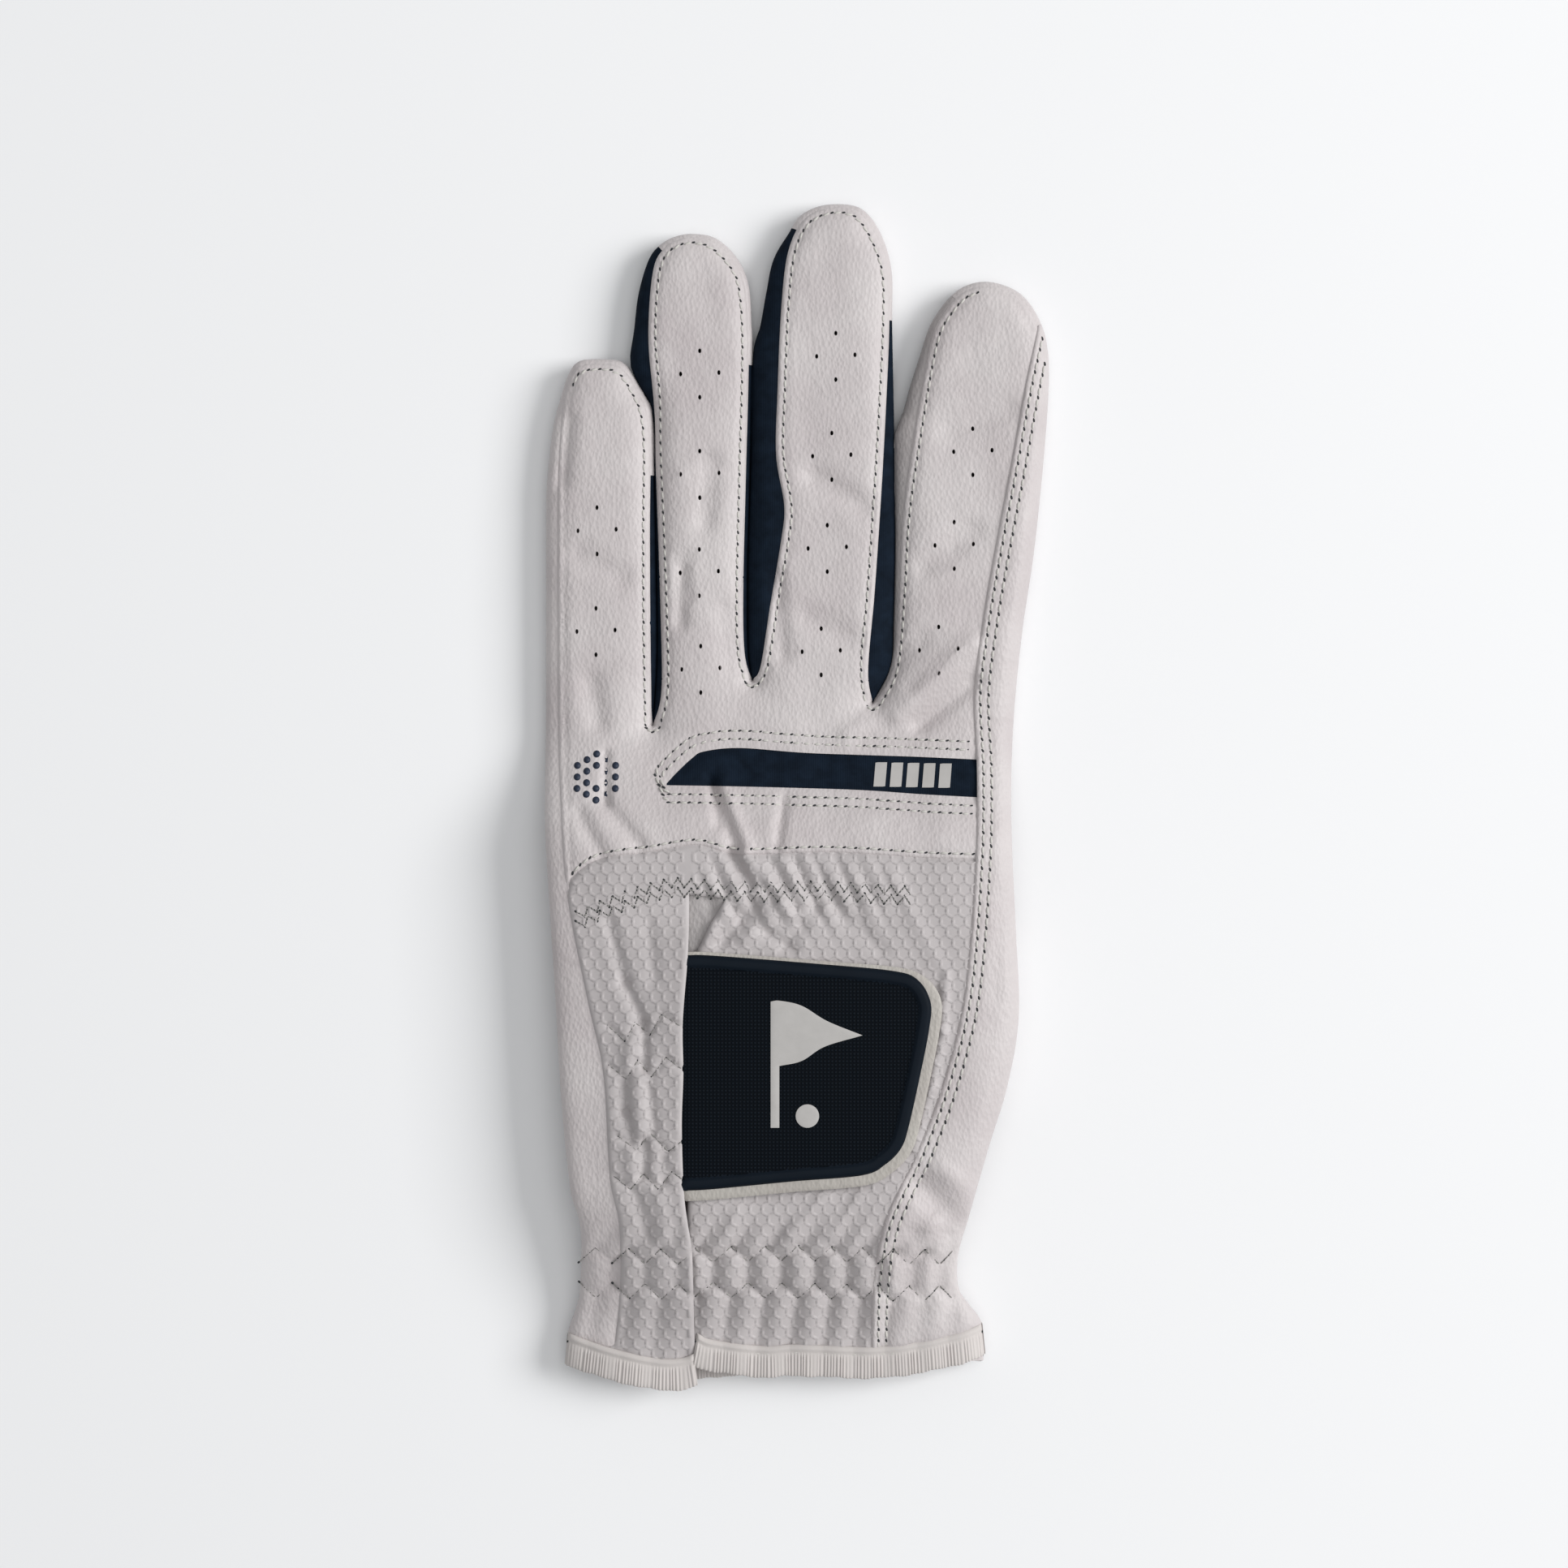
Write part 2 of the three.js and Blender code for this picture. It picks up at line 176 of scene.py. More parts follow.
SILHOUETTES = {
    "little": [
        *LEFT_SIDE, (-50.2, 62.4), (-49.0, 72.9), (-47.3, 79.5), (-45.8, 83.8), (-43.4, 86.3),
        (-36.8, 86.4), (-34.4, 85.4), (-32.5, 82.5), (-30.4, 78.8), *VALLEY_LR,
    ],
    "ring": [
        *VALLEY_LR[::-1], (-32.3, 82.1), (-33.7, 86.1), (-32.9, 92.2), (-32.0, 99.5),
        (-29.9, 106.5), (-27.3, 109.6), (-24.2, 111.1), (-21.0, 111.5), (-16.5, 110.6),
        (-12.2, 106.5), (-10.0, 101.1), (-9.4, 93.0), *VALLEY_RM,
    ],
    "middle": [
        *VALLEY_RM[::-1], (-7.7, 93.2), (-6.5, 99.9), (-5.1, 106.4), (-2.0, 111.7), (0.2, 115.1),
        (4.8, 117.2), (10.6, 117.2), (13.8, 115.4), (16.7, 110.7), (18.5, 103.8), (18.6, 93.0),
        *VALLEY_MI,
    ],
    "index": [
        *VALLEY_MI[::-1], (20.7, 75.8), (22.1, 80.9), (23.9, 86.6), (26.5, 94.0), (30.9, 99.7),
        (35.7, 101.9), (40.5, 101.4), (44.7, 99.1), (47.8, 94.6), (49.5, 89.2), (49.8, 80.9),
        (48.7, 65.5), *RIGHT_SIDE,
    ],
}
LITTLE_SEAM = [
    (-37.2, -113.5), (-36.7, -109.5), (-35.4, -97.0), (-35.5, -84.6), (-37.3, -75.5),
    (-38.6, -55.0), (-41.6, -41.2), (-45.7, -20.5), (-47.3, -0.9), (-48.0, 14.6), (-48.1, 52.8),
    (-47.9, 65.5), (-47.0, 78.4),
]
THUMB_SEAM = [
    (47.6, 93.0), (44.9, 80.9), (42.3, 66.6), (39.2, 50.2), (36.6, 35.2), (34.7, 19.7), (35.2, 4.4),
    (34.5, -16.5), (32.5, -39.5), (28.4, -56.5), (23.3, -70.3), (16.8, -84.2), (14.7, -97.0),
    (14.4, -109.1), (14.3, -113.0),
]
PANELS = {
    "little": [
        *LITTLE_SEAM, (-45.0, 84.2), (-42.3, 85.5), (-37.4, 85.6), (-34.5, 84.2), (-31.8, 80.0),
        (-30.0, 75.6), (-29.35, 68.0), (-29.5, 52.8), (-29.4, 31.8), (-29.1, 13.6),
    ],
    "ring": [
        (-29.1, 13.6), (-27.5, 20.5), (-27.7, 35.0), (-28.4, 54.4), (-28.95, 68.0), (-29.1, 78.4),
        (-30.0, 91.2), (-29.1, 104.0), (-26.8, 108.6), (-23.9, 110.4), (-21.0, 110.9),
        (-16.8, 109.7), (-12.8, 105.8), (-10.6, 101.0), (-9.8, 88.7), (-10.4, 62.9), (-10.9, 41.5),
        (-10.7, 28.6), (-9.3, 22.5),
    ],
    "middle": [
        (-9.3, 22.5), (-7.7, 25.4), (-5.7, 37.8), (-3.5, 50.8), (-3.0, 57.3), (-4.6, 67.2),
        (-4.3, 80.1), (-3.6, 96.2), (-2.3, 107.5), (0.6, 113.9), (5.1, 116.5), (10.2, 116.6),
        (13.3, 114.4), (16.0, 109.9), (18.0, 103.5), (18.2, 93.8), (17.5, 78.4), (16.5, 60.8),
        (15.1, 40.2), (13.8, 24.9), (14.7, 18.0),
    ],
    "index": [
        (14.7, 18.0), (18.2, 25.0), (19.6, 40.2), (20.4, 54.4), (22.5, 69.7), (26.0, 89.6),
        (28.9, 95.8), (32.3, 99.6), (36.0, 101.0), (40.3, 100.6), (44.7, 97.9), (47.6, 93.0),
    ],
}
# Each finger: its knuckle hinge, its lean towards the thumb side in degrees, and how far its middle
# joint lies beyond the knuckle.
FINGERS = {
    "little": ((-40.0, 21.0), 0.0, 25.0),
    "ring": ((-19.6, 30.0), 0.0, 27.0),
    "middle": ((4.3, 30.0), 2.1, 28.0),
    "index": ((31.6, 26.0), 5.5, 26.0),
}
BEND = 7.35  # half the length over which leather bends at a hinge
PART = 13.0  # where its leather is parted, from the knuckle towards the middle joint
HAND_END = -BEND + 0.05  # where a finger's leather is parted from the hand's
BEYOND = 999  # past either end of any finger
LOWER_EDGE = [
    (-45.6, -19.4), (-43.9, -15.9), (-39.1, -12.9), (-29.9, -11.6), (-20.1, -10.2), (-11.8, -12.0),
    (6.2, -11.6), (25.0, -12.7), (37.0, -13.1),
]
INSERT = [
    (-26.2, 2.0), (-24.2, 4.2), (-21.2, 7.0), (-18.9, 8.3), (-11.7, 9.0), (1.9, 8.0), (22.3, 7.3),
    (37.5, 6.6),
]
INSERT_LOW = [(37.5, -0.9), (24.6, -0.2), (13.1, 0.6), (1.9, 1.0), (-13.9, 1.4), (-26.2, 1.6)]
SLIT_LEFT = [
    (-21.6, -9.0), (-21.6, -20.0), (-21.8, -31.3), (-22.8, -44.7), (-22.7, -55.0), (-23.0, -65.3),
    (-22.6, -77.9), (-21.8, -84.6), (-21.0, -90.8), (-20.7, -109.3),
]
SLIT_MOUTH = [(-21.6, -9.0), (-21.6, -20.0), (-14.3, -20.6), (-17.4, -25.6), (-20.1, -31.0)]
SLIT_RIGHT = [
    (-20.1, -31.0), (-20.3, -51.9), (-20.5, -68.1), (-21.9, -80.6), (-22.2, -98.0), (-21.2, -110.5),
]
TAB = [
    (-22.3, -31.7), (-16.8, -31.8), (3.6, -33.4), (18.4, -34.8), (23.3, -36.6), (25.8, -41.0),
    (25.5, -46.3), (23.8, -55.0), (21.5, -65.3), (20.0, -69.6), (17.0, -72.7), (12.4, -74.9),
    (-1.4, -76.1), (-16.8, -77.6), (-22.3, -77.9),
]
CUFF_LEFT = [(-46.0, -107.3), (-37.1, -110.1), (-28.4, -112.0), (-23.5, -112.0), (-20.9, -111.1)]
CUFF_RIGHT = [
    (-20.2, -107.0), (-16.9, -108.4), (-7.3, -109.6), (-0.5, -109.3), (14.1, -109.8),
    (22.5, -108.9), (30.8, -107.2), (36.5, -105.5),
]
CUFF_WIDTH = 6.3

SIL = {name: spline(points) for name, points in SILHOUETTES.items()}
ALL_SIL = list(SIL.values())
EDGE = {name: spline(points) for name, points in PANELS.items()}
LITTLE_SEAM_LINE = spline(LITTLE_SEAM)
THUMB_SEAM_LINE = spline(THUMB_SEAM)
CROTCHES = np.array([VALLEY_LR[-1], VALLEY_RM[-1], VALLEY_MI[-1]])
# The wrist's two zigzags: where the upper one's upper points lie across the glove, and their levels.
TEETH = [-46.9, -40.2, -33.5, -27.2, -20.4, -13.4, -6.7, -0.2, 6.4, 12.5, 18.6, 24.8, 30.8, 37.0]
TOOTH = 1.6
LEVEL_X = (-46.0, -21.0, 0.0, 20.0, 36.0)
LEVELS = ((-91.3, -91.0, -90.6, -91.4, -91.6), (-98.5, -98.2, -98.4, -98.9, -99.0))
SIDE_ZIGZAGS = [
    [(-37.6, -45.6), (-34.2, -48.7), (-32.2, -45.1), (-29.2, -47.4), (-27.0, -43.3), (-23.2, -45.6)],
    [(-37.4, -53.4), (-33.9, -56.1), (-31.7, -52.4), (-29.0, -55.7), (-26.1, -51.7), (-23.0, -54.0)],
    [(-35.6, -67.3), (-31.9, -70.1), (-29.2, -66.6), (-25.6, -70.2), (-23.0, -68.2)],
    [(-36.4, -75.2), (-33.1, -77.8), (-30.6, -74.7), (-27.6, -77.6), (-24.9, -74.2), (-22.9, -75.6)],
]


def level(row, x):
    return np.interp(x, LEVEL_X, LEVELS[row])


def teeth(row):
    """One of the wrist's zigzags. The other one's teeth point the other way."""
    x = np.sort(np.r_[TEETH, (np.array(TEETH[1:]) + TEETH[:-1]) / 2])
    side = (-1.0) ** (np.arange(len(x)) + row)
    return np.column_stack([x, level(row, x) + TOOTH * side])


WRIST_ZIGZAGS = [teeth(0), teeth(1)]

# ---------------------------------------------------------------- heights

BED_CUFF, CUFF_SLOPE = -112, 32  # where the palm starts to rise over the thumb, and over what length
BED_HEAD, HEAD_SLOPE = -12, 26  # where it starts to fall again
MID = 3.75  # from the bed to the glove's side, halfway up
RISE = 3.7  # from there to the back
FINGER_ROUND, HAND_ROUND = 7.2, 15.5  # how far in from the silhouette the back is curved
ROUNDNESS = 2.3  # 2 would be an ellipse


def bed(y):
    """How high the palm lies over the folded thumb."""
    return BED_RISE * ramp((y - BED_CUFF) / CUFF_SLOPE) * (1 - ramp((y - BED_HEAD) / HEAD_SLOPE))


def dome(points):
    """The glove's upper surface, without its creases: it curves down to the silhouette all round."""
    y = points[:, 1]
    gap = distance(points, ALL_SIL)
    width = FINGER_ROUND + (HAND_ROUND - FINGER_ROUND) * (1 - ramp((y + 2) / 32))
    t = np.clip(gap / width, 0, 1)
    side = (1 - (1 - t) ** ROUNDNESS) ** (1 / ROUNDNESS)
    return bed(y) + MID + RISE * side, side


# Soft creases, as x, y, x, y, width, depth: below zero for a hollow.
CREASES = [
    (-23.2, 46.0, -23.6, 34.0, 1.5, -0.55),
    (-17.6, 66.0, -18.6, 54.0, 2.0, -0.40),
    (-13.2, 26.0, -14.6, 36.0, 2.4, -0.35),
    (19.4, 15.5, 34.0, 29.5, 2.0, 0.55),
    (24.0, 13.5, 34.5, 22.0, 1.8, -0.50),
    (16.6, 24.0, 24.0, 30.0, 2.2, -0.45),
    (-4.5, 43.5, -3.4, 27.5, 1.8, -0.45),
    (-17.5, 3.0, -12.5, -10.5, 1.2, -0.50),
    (-15.2, 2.0, -10.0, -10.5, 1.3, 0.35),
    (-39.5, -1.0, -31.5, -10.0, 1.6, -0.45),
    (-38.4, 8.0, -38.0, -2.0, 0.8, -0.45),
    (-47.0, 62.0, -45.5, 74.0, 1.5, -0.35),
    (3.0, 63.0, 12.5, 57.0, 2.4, -0.45),
    (2.0, 35.0, 11.0, 30.0, 2.6, -0.30),
    (24.8, 45.0, 34.0, 52.0, 2.4, -0.40),
    (30.0, 72.0, 41.0, 76.0, 2.6, -0.30),
    (-35.5, 43.0, -44.0, 47.0, 2.6, -0.35),
    (24.0, -77.0, 33.0, -86.0, 2.8, -1.50),
    (28.0, -73.5, 35.5, -80.0, 1.8, 0.60),
    (23.4, -86.5, 23.6, -98.0, 0.9, -0.90),
    (29.8, -87.0, 30.0, -93.0, 0.9, -0.80),
    (26.6, -84.5, 26.9, -91.0, 1.0, 0.60),
    (28.9, -35.5, 28.2, -47.0, 1.0, 0.55),
    (28.2, -47.0, 25.9, -58.0, 1.0, 0.60),
    (25.9, -58.0, 22.6, -69.5, 1.0, 0.60),
    (27.2, -38.5, 26.6, -47.0, 0.8, -0.55),
    (26.6, -47.0, 24.2, -58.5, 0.8, -0.55),
    (24.2, -58.5, 21.3, -70.0, 0.8, -0.50),
    (12.0, -76.0, -12.0, -79.6, 1.8, -0.60),
    (-11.0, -24.0, -1.0, -31.0, 1.2, -0.60),
    (-12.5, -18.5, 1.0, -24.5, 1.3, 0.45),
    (2.0, -16.0, 16.0, -31.0, 1.6, -0.50),
    (18.0, -16.5, 27.0, -33.0, 1.8, 0.40),
    (5.0, -79.0, -2.0, -86.5, 1.1, 0.40),
    (12.0, -79.0, 6.5, -87.0, 1.1, 0.45),
    (-12.0, -80.0, -14.0, -88.0, 1.2, 0.30),
    (-37.4, -25.0, -34.2, -37.1, 1.3, -0.80),
    (-34.2, -37.1, -30.6, -45.0, 1.2, -0.95),
    (-30.6, -45.0, -30.1, -54.0, 0.9, -0.95),
    (-29.6, -25.5, -28.4, -36.0, 1.4, -0.45),
    (-33.5, -47.5, -33.4, -54.0, 1.2, 0.55),
    (-34.6, -57.0, -34.2, -62.5, 1.1, -0.85),
    (-34.2, -62.5, -32.8, -68.0, 1.1, -0.80),
    (-31.8, -56.5, -31.4, -66.5, 1.5, 0.60),
    (-29.4, -57.5, -28.4, -66.0, 1.0, -0.55),
    (-30.2, -68.4, -30.3, -75.0, 1.0, -0.85),
    (-33.4, -70.5, -32.6, -75.8, 1.1, 0.45),
    (-26.6, -70.5, -26.4, -76.0, 1.1, -0.45),
    (-32.0, -79.0, -29.5, -87.5, 1.4, -0.60),
    (-27.5, -79.0, -26.0, -88.0, 1.4, 0.40),
    (-14.0, -21.0, -18.0, -28.5, 1.2, 0.55),
    (-8.0, -21.0, -15.5, -29.5, 1.2, -0.80),
    (-2.0, -20.6, -10.5, -28.5, 1.4, 0.70),
    (4.0, -21.0, -3.0, -30.5, 1.3, -0.60),
    (-13.4, -11.6, -9.4, -18.0, 0.9, -0.75),
    (-10.5, -11.6, -6.2, -18.0, 1.0, 0.45),
    (-6.5, -12.0, -3.2, -18.0, 0.9, -0.50),
    (-1.0, -12.5, 1.0, -18.0, 1.0, -0.40),
    (-17.0, 1.5, -16.0, -6.0, 0.9, -0.50),
    (-3.0, -1.0, -4.4, -11.0, 1.0, -0.40),
    (-40.0, 14.0, -41.5, 22.0, 2.4, -0.45),
    (-43.5, -4.0, -39.0, -12.0, 1.6, -0.40),
    (10.0, 12.0, 20.0, 19.5, 2.0, 0.35),
    (36.5, -75.0, 26.0, -82.0, 1.5, -0.50),
    (40.0, -20.0, 38.8, -40.0, 1.6, -0.35),
]


FOLDS = 2.1  # how much deeper the creases in the leather are than the list says
LEATHER_LOW = -12  # the leather's creases are those above this


def creases(points):
    """The soft creases, and two slow unevennesses."""
    lift = np.zeros(len(points))
    for x0, y0, x1, y1, width, depth in CREASES:
        gap = nearest(points, np.array([(x0, y0), (x1, y1)]))[0]
        lift += depth * bump(gap, width) * (FOLDS if y0 > LEATHER_LOW else 1)
    x, y = points[:, 0], points[:, 1]
    lift += 0.16 * np.sin(0.21 * x + 0.13 * y + 1.0) * np.sin(0.11 * y - 0.17 * x)
    lift += 0.07 * np.sin(0.55 * x - 0.31 * y) * np.sin(0.43 * y + 0.2 * x + 2.0)
    return lift


def swell(across, sharp=0.7):
    """A pucker's section: round on top, with a narrow valley at each side."""
    return (0.5 + 0.5 * np.cos(2 * np.pi * across)) ** sharp - 0.5


def phase(x):
    """How many teeth of the wrist's zigzag lie before a place across the glove."""
    return np.interp(x, TEETH, np.arange(len(TEETH)))


SLIT_X = -20.4  # left of this, on the little-finger half, the puckers are half as deep


def gathers(points):
    """The puckers that the elastics pull in, and the valleys that the zigzag stitches pull down."""
    x, y = points[:, 0], points[:, 1]
    upper, under = level(0, x), level(1, x)
    over = ramp((y - upper + 1.5) / 3)
    below = ramp((under + 1.5 - y) / 3)
    strength = 1 - 0.5 * (x < SLIT_X)
    lift = 1.35 * (1 - over) * (1 - below) * swell(phase(x))
    lift += 1.25 * over * (1 - ramp((y - upper - 1) / 9)) * swell(phase(x - 0.6 * (y - upper)) + 0.5)
    lift += 1.2 * below * (1 - 0.35 * ramp((-104 - y) / 4)) * swell(phase(x - 0.15 * (y - under)) + 0.5)
    lift = lift * strength - 0.48 * bump(distance(points, WRIST_ZIGZAGS), 0.55)
    lift -= 0.45 * bump(distance(points, [np.array(line) for line in SIDE_ZIGZAGS]), 0.55)
    knuckle = bump(y + 19.5, 6.0) * ramp((x + 21) / 4) * (1 - ramp((x - 4) / 22))
    return lift + 1.05 * knuckle * swell((x + 0.45 * (y + 19.5)) / 4.1)


def slit_rise(points):
    """How far the little-finger half stands up over the tab's root."""
    x, y = points[:, 0], points[:, 1]
    share = np.clip((x + 41) / 19.5, 0, 1) ** 1.4
    along = ramp((y + 116) / 18) * (1 - ramp((y + 33) / 13))
    return (x < -19) * 3.1 * share * along


CUFF_EDGE = np.array(CUFF_LEFT + CUFF_RIGHT)


def tucked(points):
    """How far everything drops where the cuff's binding covers it."""
    edge = np.interp(points[:, 0], CUFF_EDGE[:, 0], CUFF_EDGE[:, 1])
    return 1.1 * ramp((edge - points[:, 1]) / 1.4)


def top(points, raised=True):
    """The back's surface, with the little-finger half raised over the tab's root or not."""
    z, side = dome(points)
    z = z + side * (creases(points) + gathers(points)) - tucked(points)
    return z + slit_rise(points) if raised else z


def groove(points, lines, depth=0.26, width=0.5):
    """The hollow that rows of stitches pull into the leather."""
    return -depth * bump(distance(points, lines), width) if lines else 0


def palm_height(points):
    return bed(points[:, 1])


# ---------------------------------------------------------------- meshes


def place(points):
    """Design millimetres as the row's metres."""
    return (np.asarray(points) + SHIFT) / 1000


def make(name, vertices, faces, material, smooth=True):
    """A mesh piece, with its open borders kept sharp."""
    mesh = bpy.data.meshes.new(name)
    corners = [tuple(v) for v in place(vertices)]
    mesh.from_pydata(corners, [], [tuple(map(int, f)) for f in faces])
    mesh.validate()
    mesh.materials.append(material)
    mesh.polygons.foreach_set("use_smooth", [smooth] * len(mesh.polygons))
    sides = np.zeros(len(mesh.loops), int)
    mesh.loops.foreach_get("edge_index", sides)
    border = np.bincount(sides, minlength=len(mesh.edges)) == 1
    mesh.attributes.new("sharp_edge", "BOOLEAN", "EDGE").data.foreach_set("value", border)
    obj = bpy.data.objects.new(name, mesh)
    bpy.context.scene.collection.objects.link(obj)
    return obj


INWARD, OUTWARD = -1, 1


def thicken(obj, thickness, offset=INWARD):
    made = obj.modifiers.new("thickness", "SOLIDIFY")
    made.thickness = thickness / 1000
    made.offset = offset
    return obj


def lattice(outline, spacing):
    """Points on a triangular lattice over an outline's box."""
    low, high = outline.min(0), outline.max(0)
    rows = np.arange(low[1], high[1], spacing * 0.866)
    columns = np.arange(low[0], high[0], spacing)
    x, y = np.meshgrid(columns, rows)
    x = x + (np.arange(len(rows)) % 2)[:, None] * spacing / 2
    return np.column_stack([x.ravel(), y.ravel()])


HEX = 2.42  # across the flats of an embossed cell
HEX_CORNER = HEX / math.sqrt(3)
HEX_RIDGE = 0.32  # how high their borders stand


def hex_points(outline):
    """Points along the borders of hexagonal cells and round their middles, and which are borders."""
    low, high = outline.min(0) - HEX, outline.max(0) + HEX
    tall = 1.5 * HEX_CORNER
    centres = []
    for j in range(int(low[1] // tall), int(high[1] // tall) + 2):
        for i in range(int(low[0] // HEX), int(high[0] // HEX) + 2):
            centres.append(((i + j % 2 / 2) * HEX, j * tall))
    centres = np.array(centres)
    angles = np.radians(np.arange(0, 360, 30))
    reach = np.where(np.arange(12) % 2 == 0, HEX / 2, HEX_CORNER)
    border = np.column_stack([np.cos(angles), np.sin(angles)]) * reach[:, None]
    rings = [(centres[:, None] + border * (1 - gap / (HEX / 2))).reshape(-1, 2) for gap in (0.22, 0.5)]
    own = border[[0, 2, 3, 4, 9]]
    outer = (centres[:, None] + own).reshape(-1, 2)
    marks = np.r_[np.zeros(len(centres) + sum(map(len, rings))), np.ones(len(outer))]
    return np.vstack([centres, *rings, outer]), marks


NEAR = (0.2, 0.5, 0.95, 1.5, 2.05)  # rows of points along a sheet's edge, where it rolls over
HEX_NEAR = (0.2, 0.55)
GRID = 0.72  # pitch of the badge's moulded grid
SLIVER = 1e-4  # twice the area of the largest triangle that is left out


def sheet(
    name,
    outline,
    height,
    material,
    spacing=1.0,
    edges=(),
    holes=(),
    thickness=0.8,
    roll=0.5,
    points=None,
    near=NEAR,
):
    """A sheet inside an outline, lifted onto a height and rounded down along its own edges.

    edges are the only edges that roll over, if they are given. points is what hex_points() gives, in
    place of an even lattice.
    """
    rows = np.vstack([inset(outline, d) for d in near]) if roll else np.empty((0, 2))
    extra, ridges = points or (lattice(outline, spacing), None)
    ridges = np.zeros(len(extra)) if ridges is None else ridges
    marks = np.r_[np.zeros(len(rows)), ridges]
    inner = np.vstack([rows, extra])
    free = near[-1] + 0.3 if roll else 0.35 * spacing
    clear = np.r_[np.full(len(rows), 0.15), np.full(len(extra), free)]
    rings = [outline] + list(holes)
    gap = distance(inner, [ring_of(r) for r in rings])
    keep = (gap > clear) & inside(inner, outline)
    for hole in holes:
        keep &= ~inside(inner, hole)
    inner, marks = inner[keep], marks[keep]
    flat = np.vstack(rings + [inner])
    marks = np.r_[np.zeros(sum(map(len, rings))), marks]
    links = []
    start = 0
    for ring in rings:
        n = len(ring)
        links += [(start + i, start + (i + 1) % n) for i in range(n)]
        start += n
    made = delaunay_2d_cdt([Vector(p) for p in flat], links, [], 0, 1e-5)
    xy = np.array([(v.x, v.y) for v in made[0]])
    sources = [o[0] if o else -1 for o in made[3]]
    mark = np.array([marks[s] if s >= 0 else 0 for s in sources])
    faces = np.array(made[2])
    middle = xy[faces].mean(1)
    keep = inside(middle, outline)
    for hole in holes:
        keep &= ~inside(middle, hole)
    faces = faces[keep]
    a, b, c = (xy[faces[:, k]] for k in range(3))
    ab, ac = b - a, c - a
    turn = ab[:, 0] * ac[:, 1] - ab[:, 1] * ac[:, 0]
    faces[turn < 0] = faces[turn < 0][:, ::-1]
    faces = faces[np.abs(turn) > SLIVER]
    z = height(xy)
    if roll:
        own = distance(xy, list(edges) or [ring_of(outline)])
        z = z - roll * np.clip(1 - own / 0.8, 0, 1) ** 2
    z = z + mark * HEX_RIDGE
    obj = make(name, np.column_stack([xy, z]), faces, material)
    if thickness:
        thicken(obj, thickness)
    return obj


def clockwise(outline):
    """The outline, turned round if need be."""
    x, y = outline[:, 0], outline[:, 1]
    area = (x * np.roll(y, -1) - np.roll(x, -1) * y).sum()
    return outline if area < 0 else outline[::-1]


def loop(*parts):
    """One closed outline from several curves, without doubled points, turned clockwise."""
    joined = np.vstack([np.asarray(part, float) for part in parts])
    keep = np.linalg.norm(joined - np.roll(joined, 1, axis=0), axis=1) > 0.05
    return clockwise(joined[keep])


def tube_faces(n, m, closed=True):
    """The faces between n rows of m points. If closed, the rows are rings and both ends are filled."""
    faces = []
    for i in range(n - 1):
        for j in range(m if closed else m - 1):
            k = (j + 1) % m
            faces.append((i * m + j, i * m + k, (i + 1) * m + k, (i + 1) * m + j))
    if closed:
        faces += [tuple(range(m))[::-1], tuple(range((n - 1) * m, n * m))]
    return faces


def grid(name, rows, material, closed=False):
    """A surface through rows of points of one length, or a tube through closed ones."""
    rows = np.asarray(rows)
    return make(name, rows.reshape(-1, 3), tube_faces(*rows.shape[:2], closed), material)


# ---------------------------------------------------------------- the region of each piece


def direction(finger):
    """The way that a finger points."""
    lean = math.radians(FINGERS[finger][1])
    return np.array([math.sin(lean), math.cos(lean)])


def along(finger, points):
    """How far beyond a finger's knuckle points lie."""
    return (np.asarray(points)[..., :2] - FINGERS[finger][0]) @ direction(finger)


def attach(obj, region):
    """Parents a piece to its region's body; a piece on a finger, named with _low or _high, only has its
    transform baked.
    """
    finger, _, part = region.rpartition("_")
    if finger not in FINGERS:
        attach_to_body(obj, region)
        return obj
    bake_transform(obj)
    return obj


def settle(obj, slot, region, *nodes):
    """Hides the CAD nodes that a piece stands for and attaches it by its region; slot is not used."""
    if nodes:
        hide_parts(*nodes)
    return attach(obj, region)


def region_of(finger, points):
    return np.where(along(finger, points) > PART, f"{finger}_high", f"{finger}_low")


def on_hand(points):
    return np.full(len(points), "hand")


# ---------------------------------------------------------------- materials


def nodes_of(name, base, roughness, specular=0.4):
    """A new material, its node tree and its shader."""
    material = bpy.data.materials.new(name)
    material.use_nodes = True
    tree = material.node_tree
    shader = tree.nodes["Principled BSDF"]
    shader.inputs["Base Color"].default_value = (*base, 1)
    shader.inputs["Roughness"].default_value = roughness
    shader.inputs["Specular IOR Level"].default_value = specular
    return material, tree, shader


def coordinates(tree, scale=(1, 1, 1), turn=0.0):
    source = tree.nodes.new("ShaderNodeTexCoord")
    mapping = tree.nodes.new("ShaderNodeMapping")
    mapping.inputs["Scale"].default_value = scale
    mapping.inputs["Rotation"].default_value = (0, 0, turn)
    tree.links.new(source.outputs["Object"], mapping.inputs["Vector"])
    return mapping.outputs["Vector"]


def noise(tree, vector, scale, detail=4.0, rough=0.55):
    made = tree.nodes.new("ShaderNodeTexNoise")
    made.inputs["Scale"].default_value = scale
    made.inputs["Detail"].default_value = detail
    made.inputs["Roughness"].default_value = rough
    tree.links.new(vector, made.inputs["Vector"])
    return made.outputs["Fac"]


def cells(tree, vector, scale, feature="F1"):
    made = tree.nodes.new("ShaderNodeTexVoronoi")
    made.feature = feature
    made.inputs["Scale"].default_value = scale
    tree.links.new(vector, made.inputs["Vector"])
    return made.outputs["Distance"]


